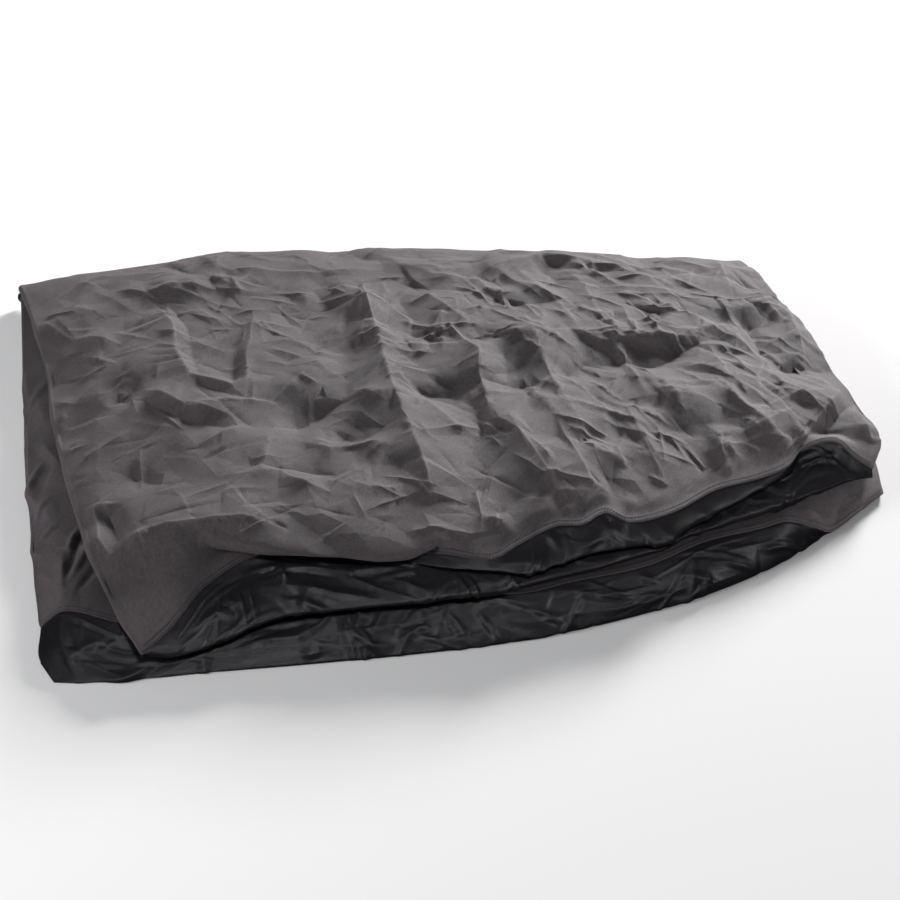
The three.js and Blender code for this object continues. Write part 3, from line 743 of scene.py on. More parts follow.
def half_turn(a, b, outward, steps):
    """Columns from one layer's edge to the next: a half circle of half their distance, bulging outward."""
    angle = (np.pi * np.arange(1, steps + 1) / (steps + 1))[:, None, None]
    centre = (a + b) / 2
    radius = np.abs(a[:, 2:] - b[:, 2:]) / 2
    return centre + (a - centre) * np.cos(angle) + outward * radius * np.sin(angle)


UPPER_END, UPPER_TURN, UPPER_COLUMNS = 5, 9, 241
LOWER_END, LOWER_TURN, LOWER_COLUMNS = 4, 8, 199
UPPER_TOP = slice(UPPER_END + UPPER_TURN, UPPER_END + UPPER_TURN + UPPER_COLUMNS)
LOWER_TOP = slice(LOWER_END + LOWER_TURN, LOWER_END + LOWER_TURN + LOWER_COLUMNS)
CROWDING = 1.5
UPPER_ROWS = rows_from(0, [3, 4, 24, 24, 24, 14, 10, 8])
UPPER_SKIRT_ROWS = rows_from(UPPER_SEAM, [20, 22, 24, 9, 6])
LOWER_ROWS = rows_from(0, [3, 3, 60, 108, 30])
LOWER_SKIRT_ROWS = rows_from(LOWER_SEAM, [34, 26, 6])


def fading(turn):
    """Rising shares between 0 and 1, one for each column of a turn."""
    return smooth(np.arange(1, len(turn) + 1) / (len(turn) + 1))


def joined(end, right, top, left, *hidden):
    """All columns of a panel in one grid, and how strongly each is creased: 1 on the top, fading out round
    its right and left turns, and 0 in the tucked end and the hidden layers."""
    creased = np.concatenate([np.zeros(len(end)), fading(right), np.ones(len(top)), fading(left)[::-1],
                              np.zeros(sum(len(layer) for layer in hidden))])
    return np.concatenate([end, right, top, left, *hidden]), creased


def upper_panel_grid(s):
    """Columns of the upper panel, from its tucked right end to the third layer, and how creased each is."""
    def under(u, **layer):
        """Hidden layer of this panel at columns u."""
        return under_layer(upper_section, UPPER_SEAM, u, s, **layer)
    end = under(np.linspace(0.95, 1, UPPER_END), share=0.9, back=2.3, front=5, edge=1, reach=0.05)
    top = laid_top(upper_section, np.linspace(1, 0, UPPER_COLUMNS), s)
    second = under(np.linspace(0, 0.9, 22), share=0.77, back=2.4, front=4.6, edge=0, reach=0.05)
    third = under(np.linspace(0.9, 0.06, 14), share=0.61, back=2.4, front=4.4)
    right = half_turn(end[-1], top[0], TO_RIGHT, UPPER_TURN)
    left = half_turn(top[-1], second[0], TO_LEFT, 13)
    inner = half_turn(second[-1], third[0], TO_RIGHT, 6)
    return joined(end, right, top, left, second, inner, third)


def lower_panel_grid(s):
    """Columns of the lower panel, from its tucked right end to the layer on the floor. On top they crowd
    towards the left, where the cloth shows: even steps to a power."""
    def under(u, **layer):
        """Hidden layer of this panel at columns u."""
        return under_layer(lower_section, LOWER_SEAM, u, s, **layer)
    end = under(np.linspace(0.94, 1, LOWER_END), share=0.5, back=2.3, front=4.2, edge=1, reach=0.05)
    top = laid_top(lower_section, np.linspace(1, 0, LOWER_COLUMNS) ** CROWDING, s)
    second = under(np.linspace(0, 0.88, 20), share=0.5, back=2.3, front=3.7, edge=0, reach=0.03)
    floor = under(np.linspace(0.88, 0.03, 12), share=0, back=2.3, front=3.6)
    right = half_turn(end[-1], top[0], TO_RIGHT, LOWER_TURN)
    left = half_turn(top[-1], second[0], TO_LEFT, 9)
    inner = half_turn(second[-1], floor[0], TO_RIGHT, 4)
    return joined(end, right, top, left, second, inner, floor)


def unit(vectors):
    """Vectors of length 1 in the same directions."""
    return vectors / np.maximum(np.linalg.norm(vectors, axis=-1, keepdims=True), 1e-9)


def normals(points):
    """Outward normals of a grid: the step to the next column crossed with the step to the next row."""
    across, down = np.gradient(points, axis=0), np.gradient(points, axis=1)
    return unit(np.cross(across, down))


def flat_place(points):
    """Each point's place on the flat cloth: length along the middle row, and along its own column."""
    across = np.linalg.norm(np.diff(points, axis=0), axis=-1)
    down = np.linalg.norm(np.diff(points, axis=1), axis=-1)
    along = np.concatenate([[0], np.cumsum(across[:, points.shape[1] // 2])])
    depth = np.concatenate([np.zeros((len(points), 1)), np.cumsum(down, axis=1)], axis=1)
    return np.stack([np.broadcast_to(along[:, None], depth.shape), depth], axis=-1)


print("panel rows:", len(UPPER_ROWS), "and", len(LOWER_ROWS))

# %% [markdown]
# One function turns a grid into a closed sheet. The rim between the fine outer grid and the coarse inner one
# is made of polygons that take three outer edges and one inner edge each. The flat place goes into a UV map
# for the weave, and the painted light into an attribute: a painted highlight along the ridges of creases,
# and on the skirts paler rolls, painted where light falls on them.

# %% From a grid to a closed sheet
COARSE = 3
OUTER_SHARE = 0.5
INNER_SHARE = 0.7
INNER_CELLS = 4
NO_FACETS = {"points": np.zeros((0, 3)), "flat": np.zeros((0, 2)), "painted_light_mask": np.zeros(0)}


def rim(outer, inner):
    """Polygons between a fine border and a coarse one: COARSE fine edges, then the coarse edge backwards."""
    first = np.arange(len(inner) - 1)
    fine = outer[first[:, None] * COARSE + np.arange(COARSE + 1)]
    return np.concatenate([fine[:, ::-1], inner[first][:, None], inner[first + 1][:, None]], axis=1)


def quads(index):
    """Quads of a grid of vertex numbers, facing along columns crossed with rows."""
    return np.stack([index[:-1, :-1], index[1:, :-1], index[1:, 1:], index[:-1, 1:]], axis=-1).reshape(-1, 4)


def edge_keys(pairs):
    """One number for each edge, the same whichever of its two vertices comes first."""
    pairs = np.sort(pairs.astype(np.int64), axis=1)
    return pairs[:, 0] * 10_000_000 + pairs[:, 1]


def lowest(height, cells):
    """Lowest value of a grid within so many cells of each point."""
    for axis in (0, 1):
        padded = np.pad(height, [(cells, cells) if a == axis else (0, 0) for a in (0, 1)], mode="edge")
        height = np.min([np.take(padded, np.arange(k, k + height.shape[axis]), axis)
                         for k in range(2 * cells + 1)], axis=0)
    return height


def inner_grid(points, height, drop):
    """Every COARSE-th point of a grid, under the lowest relief nearby, moved in by the inner share of the
    cloth and a further drop."""
    depth = lowest(height, INNER_CELLS) - INNER_SHARE - drop
    return (points + normals(points) * depth[..., None])[::COARSE, ::COARSE]


def cloth_piece(name, points, inner, flat, painted_light, material, facets=NO_FACETS):
    """Closed sheet of cloth on a grid in millimetres: outer skin, coarse inner skin and the rim between.
    Facets are finer vertices, with their flat places and triangles, in place of some of the grid's quads."""
    out = normals(points)
    outer = (points + OUTER_SHARE * out).reshape(-1, 3)
    skin = np.arange(len(outer)).reshape(points.shape[:2])
    back = len(outer) + len(facets["points"]) + np.arange(inner[..., 0].size).reshape(inner.shape[:2])
    rims = np.concatenate([rim(skin[:, 0], back[:, 0]), rim(skin[::-1, -1], back[::-1, -1]),
                           rim(skin[-1], back[-1]), rim(skin[0, ::-1], back[0, ::-1])])
    blocks = [quads(skin)]
    if facets is not NO_FACETS:
        first, last = facets["columns"]
        blocks = [quads(skin[:first + 1]), quads(skin[last:]), facets["triangles"]]
    blocks += [quads(back)[:, ::-1], rims]
    vertices = np.concatenate([outer, facets["points"], inner.reshape(-1, 3)]) - MIDDLE
    vertices[:, 2] = np.maximum(vertices[:, 2], 0)
    inner_flat = flat[::COARSE, ::COARSE].reshape(-1, 2)
    place = np.concatenate([flat.reshape(-1, 2), facets["flat"], inner_flat]) * MM
    # painted light of each vertex: highlight on ridges and lit rolls, none on the inner skin
    painted_light_values = np.concatenate([painted_light.ravel(), facets["painted_light_mask"], np.zeros(back.size)])
    used = np.unique(np.concatenate([block.ravel() for block in blocks]))
    number = np.full(len(vertices), -1)
    number[used] = np.arange(len(used))
    faces = [face for block in blocks for face in number[block].tolist()]
    mesh = bpy.data.meshes.new(name)
    mesh.from_pydata((vertices[used] * MM).tolist(), [], faces)
    rounded = np.arange(len(faces)) < len(faces) - len(rims)
    mesh.polygons.foreach_set("use_smooth", rounded)
    if facets is not NO_FACETS:
        ends = np.empty(2 * len(mesh.edges), np.int32)
        mesh.edges.foreach_get("vertices", ends)
        sharp = np.isin(edge_keys(ends.reshape(-1, 2)), edge_keys(number[facets["lines"]]))
        mesh.attributes.new("sharp_edge", "BOOLEAN", "EDGE").data.foreach_set("value", sharp)
    # the painted light goes into an attribute that the material reads
    mesh.attributes.new("painted_light", "FLOAT", "POINT").data.foreach_set("value", painted_light_values[used].astype(np.float32))
    corner = np.empty(len(mesh.loops), np.int32)
    mesh.loops.foreach_get("vertex_index", corner)
    uv = place[used][corner].astype(np.float32)
    mesh.uv_layers.new(name="flat_cloth").data.foreach_set("uv", uv.ravel())
    mesh.materials.append(material)
    piece = bpy.data.objects.new(name, mesh)
    bpy.context.scene.collection.objects.link(piece)
    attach(piece, "root")
    print(name, "has", sum(len(block) * (block.shape[1] - 2) for block in blocks), "triangles")
    return piece


# %% [markdown]
# Both cloths are woven, so the weave is one node group with its own pitch in each material: warp and weft
# threads are rounded bars, and a checker says which lies on top. A second group gives the fine crumple that
# is too small for the mesh. Groups put out values only; the shader stays in each material.

# %% Shader groups for weave and fine crumple
DRAWN_SHARE = 0.25


def node_group(name, inputs, outputs):
    """Empty shader group with float or vector inputs and float outputs."""
    group = bpy.data.node_groups.new(name, "ShaderNodeTree")
    for label, kind, value in inputs:
        socket = group.interface.new_socket(label, in_out="INPUT", socket_type=kind)
        if value is not None:
            socket.default_value = value
    for label in outputs:
        group.interface.new_socket(label, in_out="OUTPUT", socket_type="NodeSocketFloat")
    return group, group.nodes.new("NodeGroupInput"), group.nodes.new("NodeGroupOutput")


class Wiring:
    """Short way to add maths and texture nodes to a tree and link them."""

    def __init__(self, tree):
        self.tree = tree

    def add(self, kind, **settings):
        """New node of a kind, with its settings."""
        node = self.tree.nodes.new(kind)
        for name, value in settings.items():
            setattr(node, name, value)
        return node

    def feed(self, socket, value):
        """Links a socket to another node's output, or gives it a plain value."""
        if isinstance(value, bpy.types.NodeSocket):
            self.tree.links.new(value, socket)
        else:
            socket.default_value = value

    def maths(self, operation, *values):
        """Output of a maths node on plain values or other outputs."""
        node = self.add("ShaderNodeMath", operation=operation)
        for socket, value in zip(node.inputs, values):
            self.feed(socket, value)
        return node.outputs[0]

    def noise(self, vector, scale, detail, rough=0.5):
        """Value of a noise texture at a place."""
        node = self.add("ShaderNodeTexNoise")
        self.feed(node.inputs["Vector"], vector)
        self.feed(node.inputs["Scale"], scale)
        self.feed(node.inputs["Detail"], detail)
        self.feed(node.inputs["Roughness"], rough)
        return node.outputs["Fac"]


def weave_group():
    """Plain weave: bars are the absolute sine of warp and weft over the pitch, chosen by a checker. The tone
    is noise drawn out along the threads, once for warp and once for weft."""
    group, given, result = node_group(
        "plain_weave",
        [("Flat place", "NodeSocketVector", None), ("Threads per metre", "NodeSocketFloat", 1000.0)],
        ["Height", "Thread tone"])
    w = Wiring(group)
    scaled = w.add("ShaderNodeVectorMath", operation="SCALE")
    w.feed(scaled.inputs[0], given.outputs["Flat place"])
    w.feed(scaled.inputs["Scale"], given.outputs["Threads per metre"])
    parts = w.add("ShaderNodeSeparateXYZ")
    w.feed(parts.inputs[0], scaled.outputs[0])
    warp, weft = (w.maths("ABSOLUTE", w.maths("SINE", w.maths("MULTIPLY", parts.outputs[axis], np.pi)))
                  for axis in ("X", "Y"))
    cells = w.maths("ADD", w.maths("FLOOR", parts.outputs["X"]), w.maths("FLOOR", parts.outputs["Y"]))
    over = w.maths("FLOORED_MODULO", cells, 2.0)
    chosen = w.maths("ADD", w.maths("MULTIPLY", warp, over),
                     w.maths("MULTIPLY", weft, w.maths("SUBTRACT", 1.0, over)))
    w.feed(result.inputs["Height"], chosen)
    drawn_out = []
    for shares in ((1.0, DRAWN_SHARE, 1.0), (DRAWN_SHARE, 1.0, 1.0)):
        node = w.add("ShaderNodeVectorMath", operation="MULTIPLY")
        w.feed(node.inputs[0], scaled.outputs[0])
        node.inputs[1].default_value = shares
        drawn_out.append(node.outputs[0])
    tones = [w.noise(place, 0.45, 2.0, 0.7) for place in drawn_out]
    w.feed(result.inputs["Thread tone"], w.maths("MULTIPLY", w.maths("ADD", *tones), 0.5))
    return group


def crumple_group():
    """Fine crumple: small facets from the distance to the borders of random cells, plus soft noise. The
    mottle is noise at a larger scale."""
    group, given, result = node_group(
        "fine_crumple", [("Place", "NodeSocketVector", None), ("Facets per metre", "NodeSocketFloat", 40.0)],
        ["Height", "Mottle"])
    w = Wiring(group)
    warped = w.add("ShaderNodeVectorMath", operation="MULTIPLY_ADD")
    wobble = w.add("ShaderNodeTexNoise")
    w.feed(wobble.inputs["Vector"], given.outputs["Place"])
    wobble.inputs["Scale"].default_value = 14.0
    w.feed(warped.inputs[0], wobble.outputs["Color"])
    warped.inputs[1].default_value = (0.03, 0.03, 0.03)
    w.feed(warped.inputs[2], given.outputs["Place"])
    facets = w.add("ShaderNodeTexVoronoi", feature="DISTANCE_TO_EDGE")
    w.feed(facets.inputs["Vector"], warped.outputs[0])
    w.feed(facets.inputs["Scale"], given.outputs["Facets per metre"])
    soft = w.noise(given.outputs["Place"], w.maths("MULTIPLY", given.outputs["Facets per metre"], 1.7), 3.0)
    ridges = w.maths("MULTIPLY", facets.outputs["Distance"], 0.6)
    w.feed(result.inputs["Height"], w.maths("ADD", ridges, soft))
    w.feed(result.inputs["Mottle"], w.noise(given.outputs["Place"], 9.0, 4.0, 0.6))
    return group


WEAVE = weave_group()
CRUMPLE = crumple_group()
print("shader groups:", WEAVE.name, CRUMPLE.name)

# %% [markdown]
# The grey cloth is dull and a little fuzzy, so it has sheen and low gloss. The black one is coated, so it is
# smoother and gleams. One function makes both, because they differ only in values. Bumps are enough for
# threads and fine crumple, which are too small to change the outline.

# %% Materials of the two cloths and their threads
THREAD_SHARE, WEAVE_SHARE, MOTTLE_SHARE = 0.7, 0.15, 0.25
DARK_TONE, LIGHT_TONE = 0.42, 0.7
ROUGH_SPREAD = 0.16


def cloth_material(name, dark, light, painted_light_colour, rough, threads, weave_depth, facets, crumple_depth, sheen, gloss):
    """Woven cloth: the colour runs from dark to light with the threads and a soft mottle, and is mixed
    towards a painted highlight colour by the painted light attribute. Weave and crumple are two bumps,
    one on the other."""
    material = bpy.data.materials.new(name)
    material.use_nodes = True
    w = Wiring(material.node_tree)
    surface = material.node_tree.nodes["Principled BSDF"]
    flat = w.add("ShaderNodeUVMap", uv_map="flat_cloth")
    place = w.add("ShaderNodeTexCoord")
    weave = w.add("ShaderNodeGroup", node_tree=WEAVE)
    w.feed(weave.inputs["Flat place"], flat.outputs["UV"])
    weave.inputs["Threads per metre"].default_value = threads
    crumple = w.add("ShaderNodeGroup", node_tree=CRUMPLE)
    w.feed(crumple.inputs["Place"], place.outputs["Object"])
    crumple.inputs["Facets per metre"].default_value = facets
    tone = w.maths("ADD", w.maths("MULTIPLY", weave.outputs["Thread tone"], THREAD_SHARE),
                   w.maths("ADD", w.maths("MULTIPLY", weave.outputs["Height"], WEAVE_SHARE),
                           w.maths("MULTIPLY", crumple.outputs["Mottle"], MOTTLE_SHARE)))
    ramp = w.add("ShaderNodeValToRGB")
    low, high = ramp.color_ramp.elements
    low.position, high.position = DARK_TONE, LIGHT_TONE
    low.color, high.color = (*dark, 1), (*light, 1)
    w.feed(ramp.inputs["Fac"], tone)
    # painted light: the attribute mixes the colour towards the painted highlight colour
    painted_light_mask = w.add("ShaderNodeAttribute", attribute_name="painted_light")
    painted_light_mix = w.add("ShaderNodeMix", data_type="RGBA")
    w.feed(painted_light_mix.inputs["Factor"], painted_light_mask.outputs["Fac"])
    w.feed(painted_light_mix.inputs["A"], ramp.outputs["Color"])
    painted_light_mix.inputs["B"].default_value = (*painted_light_colour, 1)
    w.feed(surface.inputs["Base Color"], painted_light_mix.outputs["Result"])
    uneven = w.maths("MULTIPLY_ADD", crumple.outputs["Mottle"], ROUGH_SPREAD, rough - ROUGH_SPREAD / 2)
    w.feed(surface.inputs["Roughness"], uneven)
    surface.inputs["Specular IOR Level"].default_value = gloss
    surface.inputs["Sheen Weight"].default_value = sheen
    surface.inputs["Sheen Roughness"].default_value = 0.5
    coarse = w.add("ShaderNodeBump")
    coarse.inputs["Distance"].default_value = crumple_depth
    w.feed(coarse.inputs["Height"], crumple.outputs["Height"])
    fine = w.add("ShaderNodeBump")
    fine.inputs["Distance"].default_value = weave_depth
    w.feed(fine.inputs["Height"], weave.outputs["Height"])
    w.feed(fine.inputs["Normal"], coarse.outputs["Normal"])
    w.feed(surface.inputs["Normal"], fine.outputs["Normal"])
    return material


def thread_material(name, colour, rough):
    """Sewing thread: one colour with a slight mottle along it."""
    material = bpy.data.materials.new(name)
    material.use_nodes = True
    w = Wiring(material.node_tree)
    surface = material.node_tree.nodes["Principled BSDF"]
    place = w.add("ShaderNodeTexCoord")
    ramp = w.add("ShaderNodeValToRGB")
    ramp.color_ramp.elements[0].color = (*(0.7 * np.array(colour)), 1)
    ramp.color_ramp.elements[1].color = (*(1.25 * np.array(colour)), 1)
    w.feed(ramp.inputs["Fac"], w.noise(place.outputs["Object"], 900.0, 2.0))
    w.feed(surface.inputs["Base Color"], ramp.outputs["Color"])
    surface.inputs["Roughness"].default_value = rough
    return material


# painted_light_colour is the colour of the painted highlight on ridges and lit rolls
GREY_CLOTH = cloth_material(
    "grey_polyester", dark=(0.055, 0.048, 0.052), light=(0.112, 0.099, 0.106), painted_light_colour=(0.26, 0.24, 0.25),
    rough=0.72, threads=1100, weave_depth=0.0002, facets=26, crumple_depth=0.001, sheen=0.08, gloss=0.4)
BLACK_CLOTH = cloth_material(
    "black_nylon", dark=(0.004, 0.004, 0.0046), light=(0.011, 0.0108, 0.0124), painted_light_colour=(0.06, 0.06, 0.065),
    rough=0.31, threads=1800, weave_depth=0.0001, facets=34, crumple_depth=0.001, sheen=0.0, gloss=0.5)
DARK_THREAD = thread_material("dark_thread", (0.022, 0.021, 0.022), 0.6)
print("materials ready")

# %% [markdown]
# The upper panel is the large grey surface that the photograph shows. Its creases lift it along its normals,
# so those that reach a fold at the left or right carry on round it. They fade out at the sewn edges.

# %% Seam, nets and small creases of the upper panel
PUCKER_PITCH = 17.0
PUCKER_DEPTH = 0.45
PUCKER_REACH = 16.0
BAND_WIDTH = 11.0
BAND_RISE = 0.35
BAND_EDGE = 2.5
PUCKER_DRIFT, PUCKER_SWELL = 53.0, 91.0


def seam_relief(along, distance):
    """Relief beside a sewn seam: a raised band of folded cloth, and puckers that die away from it. A pucker
    is a sine along the seam, whose phase drifts and whose depth swells, both slowly."""
    pucker = np.sin(2 * np.pi * along / PUCKER_PITCH + 2.0 * np.sin(along / PUCKER_DRIFT))
    uneven = 0.6 + 0.4 * np.sin(along / PUCKER_SWELL)
    band = BAND_RISE * smooth((BAND_WIDTH - distance) / BAND_EDGE)
    return band + PUCKER_DEPTH * uneven * pucker * np.exp(-((distance / PUCKER_REACH) ** 2))


CRUMPLE_NET = crease_net(CREASES, seed=3, pitch=66, rise=2.0, steepest=0.2)
WRINKLE_NET = loose_net(seed=4, pitch=23, stretch=2.2, lean=-40, rise=1.9)
# Seed, count, box in the plan, rises, lengths, reaches, lean and its spread
LOOSE_SETS = [
    (7, 70, (-620, 600, 150, 455), (1.5, 4.5), (40, 150), (8, 24), 0, 40),
    (8, 70, (150, 620, -200, 400), (1.5, 4.5), (40, 150), (8, 24), -55, 28),
    (9, 70, (-560, 200, -280, 300), (1.2, 4.0), (40, 140), (8, 24), 30, 60),
    (10, 150, (-620, 600, 120, 455), (1.3, 3.2), (25, 90), (5, 10), -20, 45),
    (13, 130, (60, 640, -260, 300), (1.3, 3.2), (25, 110), (5, 10), -55, 22),
    (14, 110, (-560, 120, -300, 200), (1.3, 3.2), (25, 100), (5, 10), 10, 50),
]
LOOSE = [crease for one_set in LOOSE_SETS for crease in loose_creases(*one_set)]
print("facets:", len(WRINKLE_NET[2]), "loose creases:", len(LOOSE))
CREASE_GAIN = 2.3
FOLD_GAIN = 0.3
CUSP_GAIN = 0.4
TOP_FIRST, TOP_LAST = UPPER_TOP.start, UPPER_TOP.stop - 1
TOP_WIDE = 1330.0
# share of the painted highlight along the ridges of the top
TOP_HIGHLIGHT_SHARE = 0.35
EDGE_STEP = 12.0
GROUND_STEP = 9.0
BESIDE = (-18, -9, -3.2, 3.2, 9, 18)
ROUND_REACH = (9.0, 18.0)
SHARP_NEAR, SHARP_FADE = 3.0, 22.0


def rounded_height(net, x, y, creases):
    """Height of a net that keeps its creases sharp and rounds its other edges: away from the creases, the
    mean over a ring of places about each point."""
    near = np.min([line_distance(x, y, line)[0] for _, _, _, line in creases], axis=0)
    turn = np.arange(0, 2 * np.pi, np.pi / 3)
    ring = [net_height(net, x + r * np.cos(a), y + r * np.sin(a)) for r in ROUND_REACH for a in turn]
    return mix(net_height(net, x, y), np.mean(ring, axis=0), smooth((near - SHARP_NEAR) / SHARP_FADE))


def upper_relief(x, y, s, edge):
    """Height of the panel's creases and their painted highlight: folds, creases and nets together, faded out
    at ridge and seam. The broad folds also fade out towards the left and right edges, where edge is 0. Small
    creases are higher towards the right and the back, where the photograph is busier."""
    rows = smooth((s - 1.3) / 1.0) * smooth((7.6 - s) / 1.2)
    busy = 0.85 + 0.3 * smooth((x + 0.6 * y + 250) / 500)
    cusp_height, painted_light_mask = crease_height(x, y, CREASES)
    loose_height, _ = crease_height(x, y, LOOSE)
    small = busy * (net_height(WRINKLE_NET, x, y) + loose_height)
    placed_height = rounded_height(CRUMPLE_NET, x, y, CREASES)
    creased = CREASE_GAIN * placed_height + CUSP_GAIN * cusp_height + small
    return FOLD_GAIN * broad_folds(x, y, s, edge) + rows * creased, rows * painted_light_mask


# %% [markdown]
# Creases run across the cells of a grid, and a ridge that crosses a cell comes out as a saw edge. So the part
# of the panel that lies on top gets fine triangles instead, with an edge along every crease. Their border is
# the border of the grid, so that the two join. A finer grid could hide the saw edge, with far more faces.

# %% Fine triangles of the top
SEARCH_ROWS = (1.9, 6.2)
HALVINGS = 14
LINES_U, LINES_S = (0.008, 0.992), (2.0, 6.1)
GROUND_U = (0.006, 0.994)
GROUND_FIRST, GROUND_STOP = 8, 80
STEP_U, STEP_S = 0.002, 0.01
MERGE = 0.6


def plan_to_top(x, y):
    """The u and s of plan points on the top: u from the share of the width, s by halving the interval."""
    left, right = read_table(UPPER_LEFT, y)["x"], read_table(UPPER_RIGHT, y)["x"]
    u = np.clip((x - left) / (right - left), 0, 1)
    section = upper_section(u)
    low, high = (np.full_like(u, row) for row in SEARCH_ROWS)
    for _ in range(HALVINGS):
        middle = (low + high) / 2
        behind = spline(section, middle[:, None])[:, 0, 1] > y
        low, high = np.where(behind, middle, low), np.where(behind, high, middle)
    return u, low


def stepped(a, b, longest):
    """Straight lines from a to b, cut into steps no longer than a length: the points of all the lines, and
    which of them follow on from the point before."""
    steps = np.maximum(np.ceil(np.linalg.norm(b - a, axis=1) / longest).astype(int), 1)
    line = np.repeat(np.arange(len(a)), steps + 1)
    first = np.repeat(np.cumsum(steps + 1) - steps - 1, steps + 1)
    k = np.arange(len(line)) - first
    return mix(a[line], b[line], (k / steps[line])[:, None]), k > 0


def crease_lines():
    """Plan points of every crease line and every edge of the wrinkle net, and which of them follow on, with
    loose points beside the creases for their curved flanks."""
    starts, ends, beside = [], [], []
    for _, left, right, line in CREASES + LOOSE:
        points = np.array(line, float)
        starts.append(points[:-1])
        ends.append(points[1:])
        run, _ = stepped(points[:-1], points[1:], EDGE_STEP)
        ahead = np.gradient(run, axis=0)
        across = unit(np.stack([-ahead[:, 1], ahead[:, 0]], axis=-1))
        beside += [run + across * d for d in BESIDE if -right < d < left]
    points, _, triangles = WRINKLE_NET
    a, b = edges_of(triangles).T
    starts.append(points[a])
    ends.append(points[b])
    lines, follows = stepped(np.concatenate(starts), np.concatenate(ends), EDGE_STEP)
    beside = np.concatenate(beside)
    return np.concatenate([lines, beside]), np.concatenate([follows, np.zeros(len(beside), bool)])


def on_top(u, s):
    """Points of the upper section's surface, one for each pair of u and s."""
    return spline(upper_section(u), s[:, None])[:, 0]


def border_loop(columns, rows):
    """Column and row numbers once round the border of a grid."""
    i, j = np.arange(columns), np.arange(rows)
    sides = [(i[:-1], 0), (columns - 1, j[:-1]), (i[:0:-1], rows - 1), (0, j[:0:-1])]
    return np.concatenate([np.stack(np.broadcast_arrays(*side), axis=-1) for side in sides])


def upper_facets(flat, skin):
    """Fine triangles of the top, with every crease of the nets along their edges. Their border is the
    border of the top's grid, so that the two join."""
    depth = flat[(TOP_FIRST + TOP_LAST) // 2, :, 1]
    u_grid, s_grid = np.meshgrid(np.linspace(1, 0, UPPER_COLUMNS), UPPER_ROWS, indexing="ij")
    loop = border_loop(*u_grid.shape)
    border_u, border_s = u_grid[tuple(loop.T)], s_grid[tuple(loop.T)]
    plan, follows = crease_lines()
    edge_u, edge_s = plan_to_top(plan[:, 0], plan[:, 1])
    kept = (edge_u > LINES_U[0]) & (edge_u < LINES_U[1]) & (edge_s > LINES_S[0]) & (edge_s < LINES_S[1])
    linked = follows & kept & np.roll(kept, 1)
    wide = np.linspace(*GROUND_U, int(TOP_WIDE / GROUND_STEP))
    even = np.arange(depth[GROUND_FIRST], depth[GROUND_STOP - 1], GROUND_STEP)
    deep = np.unique(np.concatenate([UPPER_ROWS[1:GROUND_FIRST], np.interp(even, depth, UPPER_ROWS),
                                     UPPER_ROWS[GROUND_STOP:-1]]))
    ground_u, ground_s = (g.ravel() for g in np.meshgrid(wide, deep, indexing="ij"))
    u = np.concatenate([border_u, edge_u[kept], ground_u])
    s = np.concatenate([border_s, edge_s[kept], ground_s])
    number = len(loop) + np.cumsum(kept) - 1
    ring = np.arange(len(loop))
    edges = np.stack([ring, np.roll(ring, -1)], axis=-1).tolist()
    ends = np.flatnonzero(linked)
    edges += np.stack([number[ends - 1], number[ends]], axis=-1).tolist()
    sheet = np.stack([TOP_WIDE * u, np.interp(s, UPPER_ROWS, depth)], axis=-1)
    made, triangles, source, lines = triangulated(sheet, edges, MERGE)
    u, s = np.clip(made[:, 0] / TOP_WIDE, 0, 1), np.interp(made[:, 1], depth, UPPER_ROWS)
    base = on_top(u, s)
    tilt_u = on_top(u + STEP_U, s) - on_top(u - STEP_U, s)
    tilt_s = on_top(u, s + STEP_S) - on_top(u, s - STEP_S)
    out = unit(np.cross(tilt_s, tilt_u))
    along = np.interp(u, np.linspace(0, 1, UPPER_COLUMNS), flat[UPPER_TOP, 0, 0][::-1])
    down = np.interp(s, UPPER_ROWS, depth)
    relief, painted_light_mask = upper_relief(base[:, 0], base[:, 1], s, from_edges(u))
    relief += seam_relief(along, depth[-1] - down)
    border = (source >= 0) & (source < len(loop))
    index = len(skin.ravel()) + np.arange(len(made))
    index[border] = skin[tuple((loop[source[border]] + [TOP_FIRST, 0]).T)]
    corners = index[triangles]
    a, b, c = (base[triangles[:, k]] for k in range(3))
    way = np.einsum("ij,ij->i", np.cross(b - a, c - a), out[triangles[:, 0]])
    corners = np.where(way[:, None] < 0, corners[:, ::-1], corners)
    # the top's triangles carry the painted highlight along crease ridges
    return {"points": base + out * (relief + OUTER_SHARE)[:, None], "triangles": corners,
            "flat": np.stack([along, down], axis=-1), "painted_light_mask": TOP_HIGHLIGHT_SHARE * painted_light_mask, "lines": index[lines],
            "columns": (TOP_FIRST, TOP_LAST)}


print("u and s at the middle of the plan:", *np.round(plan_to_top(np.zeros(1), np.zeros(1)), 3).ravel())


# %% [markdown]
# The rest of the panel is a plain grid that goes round the two folds and lies in hidden layers under the
# top. Its inner skin follows the lowest relief nearby, so that a deep crease doesn't come through it.

# %% Upper panel
def upper_panel():
    """Grid of the upper panel, raised by its creases and by the relief of its seam."""
    points, creased = upper_panel_grid(UPPER_ROWS)
    flat = flat_place(points)
    top = np.zeros(len(points))
    ramp = np.linspace(0, EDGE_FADE, UPPER_COLUMNS)
    top[UPPER_TOP] = smooth(np.minimum(ramp, ramp[::-1]))
    s = np.broadcast_to(UPPER_ROWS, points.shape[:2])
    height, _ = upper_relief(points[..., 0], points[..., 1], s, top[:, None])
    height *= creased[:, None]
    to_seam = flat[:, -1:, 1] - flat[..., 1]
    height += seam_relief(flat[..., 0], to_seam) * creased[:, None]
    out = normals(points)
    inner = inner_grid(points, height, creased[:, None])
    return points + out * height[..., None], inner, flat


